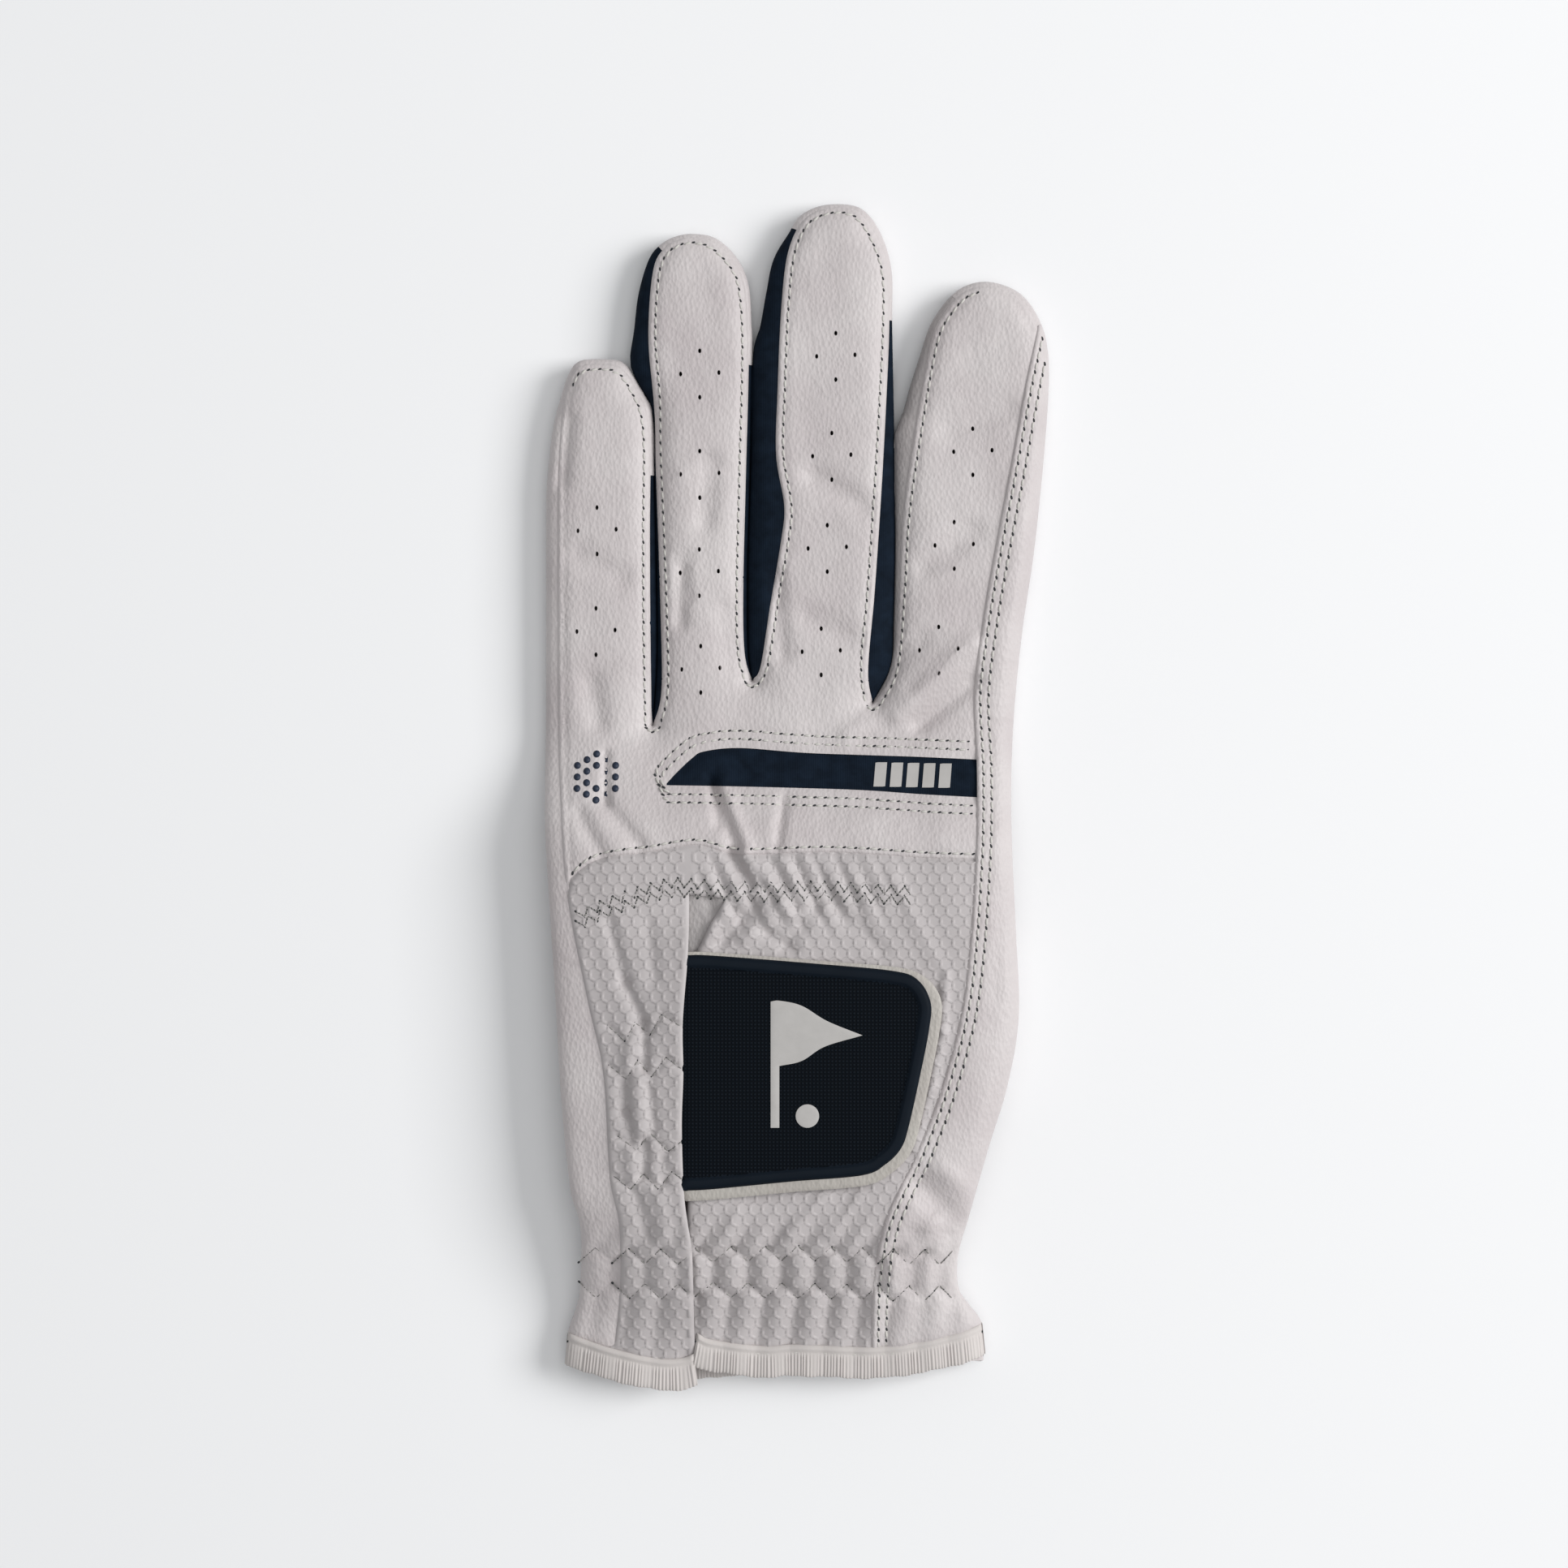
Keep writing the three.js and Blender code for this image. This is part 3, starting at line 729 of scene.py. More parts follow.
def tint(tree, fac, low, high, start=0.3, end=0.7):
    made = tree.nodes.new("ShaderNodeValToRGB")
    made.color_ramp.elements[0].position = start
    made.color_ramp.elements[0].color = (*low, 1)
    made.color_ramp.elements[1].position = end
    made.color_ramp.elements[1].color = (*high, 1)
    tree.links.new(fac, made.inputs["Fac"])
    return made.outputs["Color"]


def relief(tree, height, strength, depth_mm, normal=None):
    made = tree.nodes.new("ShaderNodeBump")
    made.inputs["Strength"].default_value = strength
    made.inputs["Distance"].default_value = depth_mm / 1000
    tree.links.new(height, made.inputs["Height"])
    if normal:
        tree.links.new(normal, made.inputs["Normal"])
    return made.outputs["Normal"]


def toned(tree, shader, fac, low, high, start=0.3, end=0.7):
    tree.links.new(tint(tree, fac, low, high, start, end), shader.inputs["Base Color"])


def leather(name, base, shade=0.87, grain=0.18):
    """Soft sheepskin: fine pebbled grain, faint pores and slow changes of tone."""
    material, tree, shader = nodes_of(name, base, 0.52, 0.42)
    vector = coordinates(tree)
    stretched = coordinates(tree, (1.0, 0.6, 1.0), 0.6)
    tone = noise(tree, vector, 55, 3)
    dark = tuple(c * shade * cast for c, cast in zip(base, (1.0, 0.975, 0.985)))
    toned(tree, shader, tone, dark, base, 0.32, 0.66)
    fine = relief(tree, cells(tree, stretched, 1500), 0.6, grain)
    pores = relief(tree, noise(tree, stretched, 950, 5, 0.6), 0.5, grain, fine)
    slow = relief(tree, noise(tree, vector, 120, 2), 0.45, 0.6, pores)
    tree.links.new(slow, shader.inputs["Normal"])
    shader.inputs["Sheen Weight"].default_value = 0.12
    shader.inputs["Sheen Roughness"].default_value = 0.5
    return material


def knit(name, base, pitch_mm=0.45, sheen=0.25, specular=0.3):
    """Fine ribbed stretch knit."""
    material, tree, shader = nodes_of(name, base, 0.78, specular)
    vector = coordinates(tree)
    tone = noise(tree, vector, 400, 3)
    toned(tree, shader, tone, tuple(c * 0.72 for c in base), tuple(c * 1.25 for c in base))
    wave = tree.nodes.new("ShaderNodeTexWave")
    wave.bands_direction = "X"
    wave.inputs["Scale"].default_value = math.pi * 100 / pitch_mm
    wave.inputs["Distortion"].default_value = 0.6
    wave.inputs["Detail"].default_value = 1.0
    tree.links.new(vector, wave.inputs["Vector"])
    first = relief(tree, wave.outputs["Fac"], 0.35, 0.08)
    second = relief(tree, noise(tree, vector, 1800, 2), 0.3, 0.08, first)
    tree.links.new(second, shader.inputs["Normal"])
    shader.inputs["Sheen Weight"].default_value = sheen
    shader.inputs["Sheen Roughness"].default_value = 0.45
    return material


def plain(name, base, roughness=0.6, tone_scale=300, grain=0.05, spread=0.85, specular=0.35):
    """Thread, tape, print or rubber: one colour with slow changes of tone and a fine grain."""
    material, tree, shader = nodes_of(name, base, roughness, specular)
    vector = coordinates(tree)
    tone = noise(tree, vector, tone_scale, 3)
    toned(tree, shader, tone, tuple(c * spread for c in base), base)
    tree.links.new(relief(tree, noise(tree, vector, 1600, 3), 0.4, grain), shader.inputs["Normal"])
    return material


def mesh_grid(name):
    """Dark rubber with a fine moulded grid, each knob's top painted a little lighter: painted highlight.
    """
    material, tree, shader = nodes_of(name, (0.002, 0.004, 0.007), 0.6, 0.06)
    vector = coordinates(tree)
    waves = []
    for way in ("X", "Y"):
        wave = tree.nodes.new("ShaderNodeTexWave")
        wave.bands_direction = way
        wave.inputs["Scale"].default_value = math.pi * 100 / GRID
        tree.links.new(vector, wave.inputs["Vector"])
        waves.append(wave.outputs["Fac"])
    both = tree.nodes.new("ShaderNodeMath")
    both.operation = "MULTIPLY"
    tree.links.new(waves[0], both.inputs[0])
    tree.links.new(waves[1], both.inputs[1])
    knobs = both.outputs["Value"]
    # Painted highlight: the knobs are coloured lighter than the rubber between them.
    toned(tree, shader, knobs, (0.0012, 0.0026, 0.0048), (0.0060, 0.0095, 0.0145), 0.3, 0.8)
    tree.links.new(relief(tree, knobs, 0.8, 0.12), shader.inputs["Normal"])
    return material


# Colours are linear.
WHITE = leather("white_leather", (0.56, 0.522, 0.518))
# A darker copy of the white leather: painted shade, for the index finger's fourchette deep between the
# fingers and for the slit facing.
WHITE_LEATHER_PAINTED_SHADE = leather("white_leather_painted_shade", (0.40, 0.375, 0.37))
HEX_FABRIC = plain("hex_fabric", (0.475, 0.443, 0.442), 0.5, 90, 0.04, 0.92)
NAVY = knit("navy_knit", (0.0058, 0.0108, 0.0195), 0.45, 0.0, 0.06)
BINDING = plain("cuff_binding", (0.60, 0.56, 0.54), 0.85, 45, 0.1, 0.82)
THREAD = plain("thread", (0.58, 0.565, 0.53), 0.7, 500, 0.03)
# The zigzag thread is darkened: painted shade of the grooves that the zigzags pull into the fabric.
ZIGZAG_THREAD_PAINTED_SHADE = plain("zigzag_thread_painted_shade", (0.32, 0.311, 0.295), 0.8, 700, 0.03, 0.6)
# Painted shade: dark spots that stand for the needle holes.
PAINTED_HOLE_SHADE = plain("needle_hole_painted_shade", (0.035, 0.038, 0.04), 0.95, 500, 0.02)
ELASTIC = knit("elastic_tape", (0.62, 0.61, 0.58), 0.8, 0.1)
BACKING = leather("tab_backing", (0.43, 0.407, 0.372), 0.88)
TAPE = plain("hook_loop_tape", (0.50, 0.48, 0.43), 0.95, 200, 0.1)
RUBBER = plain("navy_rubber", (0.0050, 0.0088, 0.0145), 0.55, 200, 0.02, specular=0.07)
RUBBER_GRID = mesh_grid("navy_rubber_grid")
PRINT = plain("grey_print", (0.45, 0.435, 0.42), 0.5, 300, 0.02, 0.92)
NAVY_PRINT = plain("navy_print", (0.02, 0.03, 0.055), 0.55, 300, 0.02)

# ---------------------------------------------------------------- stitches


UP = np.array([0, 0, 1.0])
# A stitch's rings of points: how far along it, and how thick it is there.
THREAD_SHAPE = ((0.0, 0.35), (0.12, 0.8), (0.35, 1.0), (0.65, 1.0), (0.88, 0.8), (1.0, 0.35))


def capsule(a, b, radius, sides=6):
    """A short thread lying from a to b, round at its ends and sunk a little at both."""
    t = b - a
    t = t / max(np.linalg.norm(t), 1e-9)
    side = np.cross(UP, t)
    turns = np.arange(sides) * 2 * math.pi / sides
    rings = []
    for s, r in THREAD_SHAPE:
        centre = a + (b - a) * s - UP * radius * 0.9 * (2 * s - 1) ** 4
        rings.append([centre + radius * r * (math.cos(k) * side + math.sin(k) * UP) for k in turns])
    return np.array(rings)


class Threads:
    """Stitches gathered by region, each region becoming one piece."""

    def __init__(self, name, thread=THREAD):
        self.name = name
        self.thread = thread
        self.parts = {}

    def add(self, region, vertices, faces, kind):
        verts, all_faces, kinds = self.parts.setdefault(region, ([], [], []))
        start = sum(map(len, verts))
        verts.append(vertices)
        all_faces += [tuple(start + i for i in f) for f in faces]
        kinds += [kind] * len(faces)

    def stitch(self, region, a, b, radius):
        rings = capsule(a, b, radius)
        self.add(region, rings.reshape(-1, 3), tube_faces(*rings.shape[:2]), 0)

    def hole(self, region, centre, t, long, wide):
        """A dark spot of painted shade for a needle hole, long and wide in half, a little higher in its
        middle.
        """
        side = np.cross(UP, t)
        turns = np.arange(8) * math.pi / 4
        rim = [centre + long * math.cos(k) * t + wide * math.sin(k) * side - UP * 0.06 for k in turns]
        crown = [centre + 0.5 * (p - centre) + UP * 0.05 for p in rim]
        faces = [(j, (j + 1) % 8, 8 + (j + 1) % 8, 8 + j) for j in range(8)] + [tuple(range(8, 16))]
        self.add(region, np.array(rim + crown), faces, 1)

    def finish(self, slot="white_leather"):
        for region, (verts, faces, kinds) in self.parts.items():
            obj = make(f"{self.name}_{region}", np.vstack(verts), faces, self.thread)
            # The dark needle-hole spots are painted shade.
            obj.data.materials.append(PAINTED_HOLE_SHADE)
            obj.data.polygons.foreach_set("material_index", kinds)
            settle(obj, slot, region)


def lift_of(points, height):
    """Flat points lifted onto a height."""
    return np.column_stack([points, height(points)])


STITCH_SHARE = 0.64  # how much of its pitch a stitch fills
STITCH_SLANT = 0.06  # how far each of its ends lies to one side
STITCH_LIFT, HOLE_LIFT = 0.08, 0.09
HOLE_HALVES = (0.46, 0.25)  # half a needle hole's length and width
TURN_HALVES, STEP_HALVES = (0.36, 0.25), (0.22, 0.16)  # those at a zigzag's turns, and between them
ZIGZAG_LIFT, ZIGZAG_HOLE_LIFT = 0.06, 0.05


def row(threads, curve, height, regions, pitch=2.3, radius=0.23):
    """A row of stitches along a curve, with a dark spot of painted shade for a needle hole in each gap.
    """
    line = resample(curve, step=pitch)
    t = tangents(line)
    lean = np.column_stack([-t[:, 1], t[:, 0]]) * STITCH_SLANT
    half = t * pitch * STITCH_SHARE / 2 + lean
    centres = (line[:-1] + line[1:]) / 2
    a = lift_of(centres - half[:-1], height) + UP * STITCH_LIFT
    b = lift_of(centres + half[:-1], height) + UP * STITCH_LIFT
    holes = lift_of(line, height) + UP * HOLE_LIFT
    for region, start, end in zip(regions(centres), a, b):
        threads.stitch(str(region), start, end, radius)
    for region, spot, way, aside in zip(regions(line), holes, t, lean):
        axis = np.append(way + aside * 9, 0)
        threads.hole(str(region), spot, axis / np.linalg.norm(axis), *HOLE_HALVES)


def zigzag(threads, turns, height, regions, steps=3, radius=0.13):
    """A three-step zigzag: short stitches along each slanting leg, dark spots of painted shade for holes
    between them.
    """
    for a, b in zip(turns, turns[1:]):
        leg = a + (b - a) * np.linspace(0, 1, steps + 1)[:, None]
        spots = lift_of(leg, height)
        where = regions(leg)
        for k in range(steps):
            gap = (spots[k + 1] - spots[k]) * 0.1
            lift = UP * ZIGZAG_LIFT
            start, end = spots[k] + gap + lift, spots[k + 1] - gap + lift
            threads.stitch(str(where[k]), start, end, radius)
            axis = gap / np.linalg.norm(gap)
            size = TURN_HALVES if k == 0 else STEP_HALVES
            threads.hole(str(where[k]), spots[k] + UP * ZIGZAG_HOLE_LIFT, axis, *size)


# ---------------------------------------------------------------- the back's leather


def branches(finger, edge):
    """An outline's two long edges, both from the crotch or seam up to the finger's tip."""
    tip = int(along(finger, edge).argmax())
    return edge[: tip + 1], edge[tip:][::-1]


def cut(finger, branch, low, high):
    """The stretch of a long edge between two places along the finger."""
    reach = along(finger, branch)
    before = np.flatnonzero(reach <= low)
    start = before[-1] if len(before) else None
    above = np.flatnonzero(reach >= high)
    end = above[above > (start or 0)][0] if len(above) else None

    def at(i, place_on):
        f = (place_on - reach[i]) / (reach[i + 1] - reach[i])
        return (branch[i] + f * (branch[i + 1] - branch[i]))[None]

    parts = [branch[(0 if start is None else start + 1) : (len(branch) if end is None else end)]]
    if start is not None:
        parts.insert(0, at(start, low))
    if end is not None:
        parts.append(at(end - 1, high))
    return np.vstack(parts)


def across(a, b, step=0.8):
    """Evenly spaced points from a to b."""
    n = max(int(round(np.linalg.norm(b - a) / step)), 2)
    return a + (b - a) * np.linspace(0, 1, n + 1)[:, None]


def finger_outlines(finger, left, right):
    """A finger's leather parted at PART, and the edges of it that stay on the hand."""
    low_left, low_right = (cut(finger, edge, HAND_END, PART) for edge in (left, right))
    high_left, high_right = (cut(finger, edge, PART, BEYOND) for edge in (left, right))
    lower = loop(
        low_left,
        across(low_left[-1], low_right[-1]),
        low_right[::-1],
        across(low_right[0], low_left[0]),
    )
    upper = loop(high_left, high_right[::-1], across(high_right[0], high_left[0]))
    hand_left, hand_right = (cut(finger, edge, -BEYOND, HAND_END) for edge in (left, right))
    kept = [hand_left, across(low_left[0], low_right[0]), hand_right[::-1]]
    return (("low", "proximal", lower), ("high", "distal", upper)), kept


STITCH_IN = 1.5  # from a panel's edge to its row of stitches
WRAP_ROWS = (1.3, 2.9)  # from the thumb-side wrap's edge to its two rows
INSERT_ROWS = (1.8, 3.4)  # from the knuckle insert to its two rows
OVERLAP = 2.6  # how far the back leather goes under the thumb-side wrap
ROWS_FROM = -16  # where the fingers' rows of stitches begin, from the knuckle
LITTLE_ROW_X, INDEX_ROW_X = -45, 35.5  # how far the rows go towards the hand's two sides
LITTLE_BACK_Y, INDEX_BACK_Y = -18, -12.8  # how far down the back leather's two sides go
WINDOW_X, INSERT_ROWS_X = 36.9, 34  # where the insert's window and its rows end, under the wrap
TUCK = THUMB_SEAM_LINE[::-1].copy()
TUCK[:, 0] += np.minimum(OVERLAP, 0.6 * nearest(TUCK, SIL["index"])[0])


def finger_edges(finger):
    """The two long edges of a finger's back. The index's right one goes under the thumb-side wrap."""
    left, right = branches(finger, EDGE[finger])
    if finger == "index":
        right = np.vstack([TUCK, right[1:]])
    return left, right


GROUP = (3.8, 4.6)  # half the width and half the height of a group of perforations


def perforations(centre, radius=0.46):
    """The outlines of a group of four holes."""
    x, y = centre
    wide, high = GROUP
    spots = [(x, y + high), (x - wide, y), (x + wide, y + 0.3), (x, y - high)]
    turn = np.arange(8) * math.pi / 4
    ring = np.column_stack([radius * 0.72 * np.cos(turn), radius * 1.1 * np.sin(turn)])
    return [ring + spot for spot in spots]


PERFORATED = {
    "little": [(-40.1, 52.1), (-40.3, 32.1)],
    "ring": [(-19.7, 83.2), (-19.7, 63.3), (-19.8, 43.8), (-19.5, 24.6)],
    "middle": [(7.3, 86.7), (6.5, 66.9), (5.6, 48.6), (4.4, 28.1)],
    "index": [(34.5, 67.8), (30.8, 49.2), (27.7, 28.4)],
}


def back_height(lines):
    """The back's surface with the hollows of its rows of stitches."""
    return lambda points: top(points) + groove(points, lines)


def finger_or_hand(finger, points):
    return np.where(along(finger, points) > HAND_END, region_of(finger, points), "hand")


def finger_backs():
    """The fingers' white leather. Gives back the edges of each finger that stay on the hand."""
    stitches = Threads("finger_stitches")
    kept = {}
    for finger in FINGERS:
        edge = EDGE[finger]
        rows = inset(edge, STITCH_IN)
        height = back_height([rows])
        holes = [hole for centre in PERFORATED[finger] for hole in perforations(centre)]
        parts, kept[finger] = finger_outlines(finger, *finger_edges(finger))
        for part, stretch, outline in parts:
            own = [hole for hole in holes if inside(hole, outline).all()]
            obj = sheet(f"{finger}_back_{part}", outline, height, WHITE, 0.95, [edge], own)
            settle(obj, "white_leather", f"{finger}_{part}", f"{finger}_{stretch}_back")
        rows = rows[along(finger, rows) > ROWS_FROM]
        if finger == "little":
            rows = rows[rows[:, 0] > LITTLE_ROW_X]
        if finger == "index":
            rows = rows[rows[:, 0] < INDEX_ROW_X]
        row(stitches, rows, height, lambda p, f=finger: finger_or_hand(f, p))
    stitches.finish()
    return kept


def hand_back(kept):
    """The leather over the knuckles, down to the fabric. Gives back its window for the insert."""
    left, line, right = kept["little"]
    kept["little"] = [left[left[:, 1] > LITTLE_BACK_Y], line, right]
    left, line, right = kept["index"]
    kept["index"] = [left, line, right[right[:, 1] > INDEX_BACK_Y]]
    low = spline(LOWER_EDGE)
    outline = loop(*[part for finger in FINGERS for part in kept[finger]], low[::-1])
    window = loop(spline(INSERT), spline(INSERT_LOW))
    window = window[window[:, 0] < WINDOW_X]
    edges = [low, ring_of(window)] + [EDGE[f] for f in ("little", "ring", "middle")]
    edges.append(EDGE["index"][: int(along("index", EDGE["index"]).argmax())])
    rows = [inset(window, -d) for d in INSERT_ROWS] + [low + [0, 1.1]]
    height = back_height(rows + [inset(EDGE[f], STITCH_IN) for f in FINGERS])
    holes = [window]
    for centre in sum(PERFORATED.values(), []):
        holes += [hole for hole in perforations(centre) if inside(hole, outline).all()]
    obj = sheet("back_leather_hand", outline, height, WHITE, 0.75, edges, holes)
    settle(obj, "white_leather", "hand", "back_leather")
    stitches = Threads("back_stitches")
    for line in rows[:2]:
        line = line[line[:, 0] < INSERT_ROWS_X]
        turn = int(np.argmax(np.linalg.norm(line - np.roll(line, 1, axis=0), axis=1)))
        row(stitches, np.roll(line, -turn, axis=0), height, on_hand, 2.05)
    row(stitches, low[4:-4] + [0, 1.1], height, on_hand)
    turn = np.radians(np.linspace(205, 335, 9))
    arc = STITCH_IN * np.column_stack([np.cos(turn), np.sin(turn)])
    for crotch in CROTCHES:
        row(stitches, crotch + arc, height, on_hand, 1.7)
    stitches.finish()
    return window


BLOCKS = 5
BLOCK_AT, BLOCK_STEP = (14.7, 3.75), (3.2, -0.06)  # the first one's corner, and the way to the next


def knuckle_insert(window):
    """The navy strip in the window, and a row of plain printed blocks."""

    def strip(points):
        return top(points) - 0.85 + 0.4 * ramp(distance(points, [ring_of(window)]) / 2.2)

    def ink(points):
        return strip(points) + 0.1

    obj = sheet("knuckle_insert_knit", loop(inset(window, -0.9)), strip, NAVY, 0.8, roll=0)
    settle(obj, "navy_knit", "hand", "knuckle_insert")
    slanted = np.array([(0, -2.4), (0.45, 2.4), (2.75, 2.4), (2.3, -2.4), (0, -2.4)])
    for i in range(BLOCKS):
        corner = (BLOCK_AT[0] + BLOCK_STEP[0] * i, BLOCK_AT[1] + BLOCK_STEP[1] * i)
        block = loop(resample(slanted + corner, step=0.6))
        name = f"knuckle_insert_block_{i + 1}"
        settle(sheet(name, block, ink, PRINT, 0.8, roll=0, thickness=0.15), "grey_print", "hand")


# ---------------------------------------------------------------- the sides


# How far in from a lapped edge its cross-sections have points, and how far sides go under the palm.
LAP_STEPS = np.array([0.0, 0.2, 0.5, 0.9, 1.3, 1.7, 2.3, 2.9, 3.3, 3.7, 4.1])
SIDE_TUCK = 3.0


def side_rows(top_line, sil_line, under, over, lines):
    """Cross-sections from a panel's edge out to the silhouette and under to the palm.

    The edge lies under below the back's surface, or above it and rolled down if over is set.
    """
    out = nearest(top_line, sil_line)[1]
    cuff_end = sil_line[sil_line[:, 1] < -60]
    cuff_end = cuff_end[np.argsort(cuff_end[:, 1])]
    if len(cuff_end):
        level_x = np.interp(top_line[:, 1], cuff_end[:, 1], cuff_end[:, 0])
        share = ramp((-80 - top_line[:, 1]) / 14)[:, None]
        out = out * (1 - share) + share * np.column_stack([level_x, top_line[:, 1]])
    gap = np.linalg.norm(top_line - out, axis=1)
    ways = tangents(sil_line)
    which = ((out[:, None] - sil_line[None]) ** 2).sum(2).argmin(1)
    unit = np.column_stack([ways[which, 1], -ways[which, 0]])
    near = np.zeros((len(gap), 1))
    if over:
        near = np.minimum(LAP_STEPS / np.maximum(gap, 1e-6)[:, None], 0.72)
        near = np.maximum.accumulate(near, axis=1)
    tail = np.sin(np.linspace(0, math.pi / 2, 14))[1:]
    share = np.hstack([near, near[:, -1:] + (1 - near[:, -1:]) * tail])
    flat = top_line[:, None] + (out - top_line)[:, None] * share[..., None]
    z = top(flat.reshape(-1, 2)).reshape(share.shape)
    if over:
        edge = 0.5 * np.clip(1 - share * gap[:, None] / 0.7, 0, 1) ** 2
        z += under * (1 - ramp((share - 0.6) / 0.4)) - edge
        z += groove(flat.reshape(-1, 2), lines, 0.16, 0.4).reshape(share.shape)
    else:
        z -= under * (1 - share)
    side = bed(out[:, 1]) + MID
    z[:, -1] = side
    reach = SIDE_TUCK * ramp(from_crotch(out) / 9)
    lower = []
    for a in np.linspace(0, math.pi / 2, 8)[1:]:
        xy = out + unit * (reach * (1 - math.cos(a)))[:, None]
        floor = bed(xy[:, 1]) + 0.75
        lower.append(np.column_stack([xy, side - (side - floor) * math.sin(a)]))
    return np.hstack([np.dstack([flat, z]), np.array(lower).transpose(1, 0, 2)])


def band(name, finger, top_line, material, slot, under=0.5, over=False, replaced=(), lines=()):
    """One side piece, parted between a finger's two hinges. replaced is the nodes of both parts."""
    rows = side_rows(top_line, SIL[finger], under, over, lines)
    reach = along(finger, top_line)
    high = reach > PART
    parts = {"low": np.flatnonzero(~high), "high": np.flatnonzero(high)}
    if len(parts["low"]) and len(parts["high"]):
        joint = parts["low"][np.argmax(reach[parts["low"]])]
        parts["high"] = np.unique(np.r_[parts["high"], joint])
    for part, which in parts.items():
        if len(which) > 1:
            obj = thicken(grid(f"{name}_{part}", rows[which][:, ::-1], material), 0.7)
            settle(obj, slot, f"{finger}_{part}", *dict(replaced).get(part, ()))


def fourchettes():
    """The strips at the fingers' sides: navy knit, or white leather darkened with painted shade, and
    white round the tips.
    """
    plan = [
        ("little", "right", 63.5, NAVY, "navy_knit"),
        ("ring", "left", 108.5, NAVY, "navy_knit"),
        ("ring", "right", 86.0, NAVY, "navy_knit"),
        ("middle", "left", 113.0, NAVY, "navy_knit"),
        ("middle", "right", 95.0, NAVY, "navy_knit"),
        # The index fourchette is white leather darkened with painted shade.
        ("index", "left", 99.0, WHITE_LEATHER_PAINTED_SHADE, "white_leather"),
    ]
    ends = {(finger, side): limit for finger, side, limit, _, _ in plan}
    for finger, side, limit, material, slot in plan:
        left, right = branches(finger, EDGE[finger])
        stretch = left if side == "left" else right[::-1]
        keep = stretch[stretch[:, 1] < limit]
        line = inset(keep, 0.7 * ramp(from_crotch(keep) / 4))
        nodes = {
            "low": [f"{finger}_proximal_fourchette_{side}"],
            "high": [f"{finger}_distal_fourchette_{side}"],
        }
        band(f"{finger}_fourchette_{side}", finger, line, material, slot, replaced=nodes)
    for finger in ("ring", "middle", "index", "little"):
        left, right = branches(finger, EDGE[finger])
        left = left[left[:, 1] > ends.get((finger, "left"), 70.0) - 0.9]
        right = right[right[:, 1] > ends.get((finger, "right"), 93.0) - 0.9]
        if finger == "index":
            right = right[right[:, 1] > 92.5]
        line = inset(np.vstack([left, right[::-1][1:]]), 0.5)
        nodes = {"high": ["little_distal_side_wrap"]} if finger == "little" else {}
        band(f"{finger}_tip", finger, line, WHITE, "white_leather", 0.35, replaced=nodes)


def side_wraps():
    """The palm leather that comes round both sides of the hand."""
    seam = inset(LITTLE_SEAM_LINE[LITTLE_SEAM_LINE[:, 1] < 70.8], 0.7)
    nodes = {"low": ["little_side_wrap", "little_side_wall", "little_proximal_side_wrap"]}
    band("little_side_leather", "little", seam, WHITE, "white_leather", 0.45, replaced=nodes)
    line = spline(THUMB_SEAM, 0.6)
    gap = nearest(line, SIL["index"])[0]
    line, gap = line[gap > 0.5], gap[gap > 0.5]
    rows = [inset(line, -d) for d in WRAP_ROWS]
    nodes = {
        "low": ["thumb_side_wrap", "thumb_side_wall", "index_proximal_side_wrap"],
        "high": ["index_distal_side_wrap"],
    }
    band("thumb_side_leather", "index", line, WHITE, "white_leather", 0.55, True, nodes, rows)
    stitches = Threads("thumb_side_stitches")
    for rows_line, need in zip(rows, (1.9, 3.7)):
        kept = rows_line[gap > need]
        row(stitches, kept, lambda p: top(p) + 0.42, lambda p: region_of("index", p))
    stitches.finish()


# ---------------------------------------------------------------- the palm


def palm_piece(name, outline, holes=()):
    obj = sheet(name, outline, palm_height, WHITE, 2.0, thickness=0, roll=0, holes=holes)
    return thicken(obj, 0.6, OUTWARD)


def palm():
    """The palm leather under the glove, parted like the back."""
    hand = []
    for finger in FINGERS:
        edge = inset(SIL[finger], 1.9 * ramp(from_crotch(SIL[finger]) / 9))
        parts, kept = finger_outlines(finger, *branches(finger, edge))
        hand += kept
        for part, stretch, outline in parts:
            obj = palm_piece(f"{finger}_palm_{part}", outline)
            settle(obj, "white_leather", f"{finger}_{part}", f"{finger}_{stretch}_palm")
    outline = loop(*hand, across(hand[-1][-1], hand[0][0]))
    turns = np.arange(0, 2 * math.pi, 0.2)
    hole = np.array([(33.2 + 4.2 * math.cos(a), -46 + 15.5 * math.sin(a)) for a in turns])
    obj = palm_piece("palm_leather_hand", outline, [hole])
    settle(obj, "white_leather", "hand", "palm_leather")


# ---------------------------------------------------------------- the stretch fabric

LOWER_LINE = spline(LOWER_EDGE)
SLIT_LEFT_LINE = spline(SLIT_LEFT)
SLIT_RIGHT_LINE = np.vstack([resample(np.array(SLIT_MOUTH), step=0.7)[:-1], spline(SLIT_RIGHT)])


def under_leather(points):
    """How far the fabric drops where it goes under the back leather's lower edge."""
    edge = np.interp(points[:, 0], LOWER_LINE[:, 0], LOWER_LINE[:, 1])
    return 0.6 * ramp((points[:, 1] - edge + 0.7) / 0.9)


def fabric(name, outline, raised, edges, node):
    """One half of the embossed fabric."""
    height = lambda p: top(p, raised) - under_leather(p)
    obj = sheet(name, outline, height, HEX_FABRIC, 1.0, edges, points=hex_points(outline), near=HEX_NEAR)
    return settle(obj, "hex_fabric", "hand", node)


def lower(points):
    """The back's surface where it isn't raised over the tab's root."""
    return top(points, raised=False)


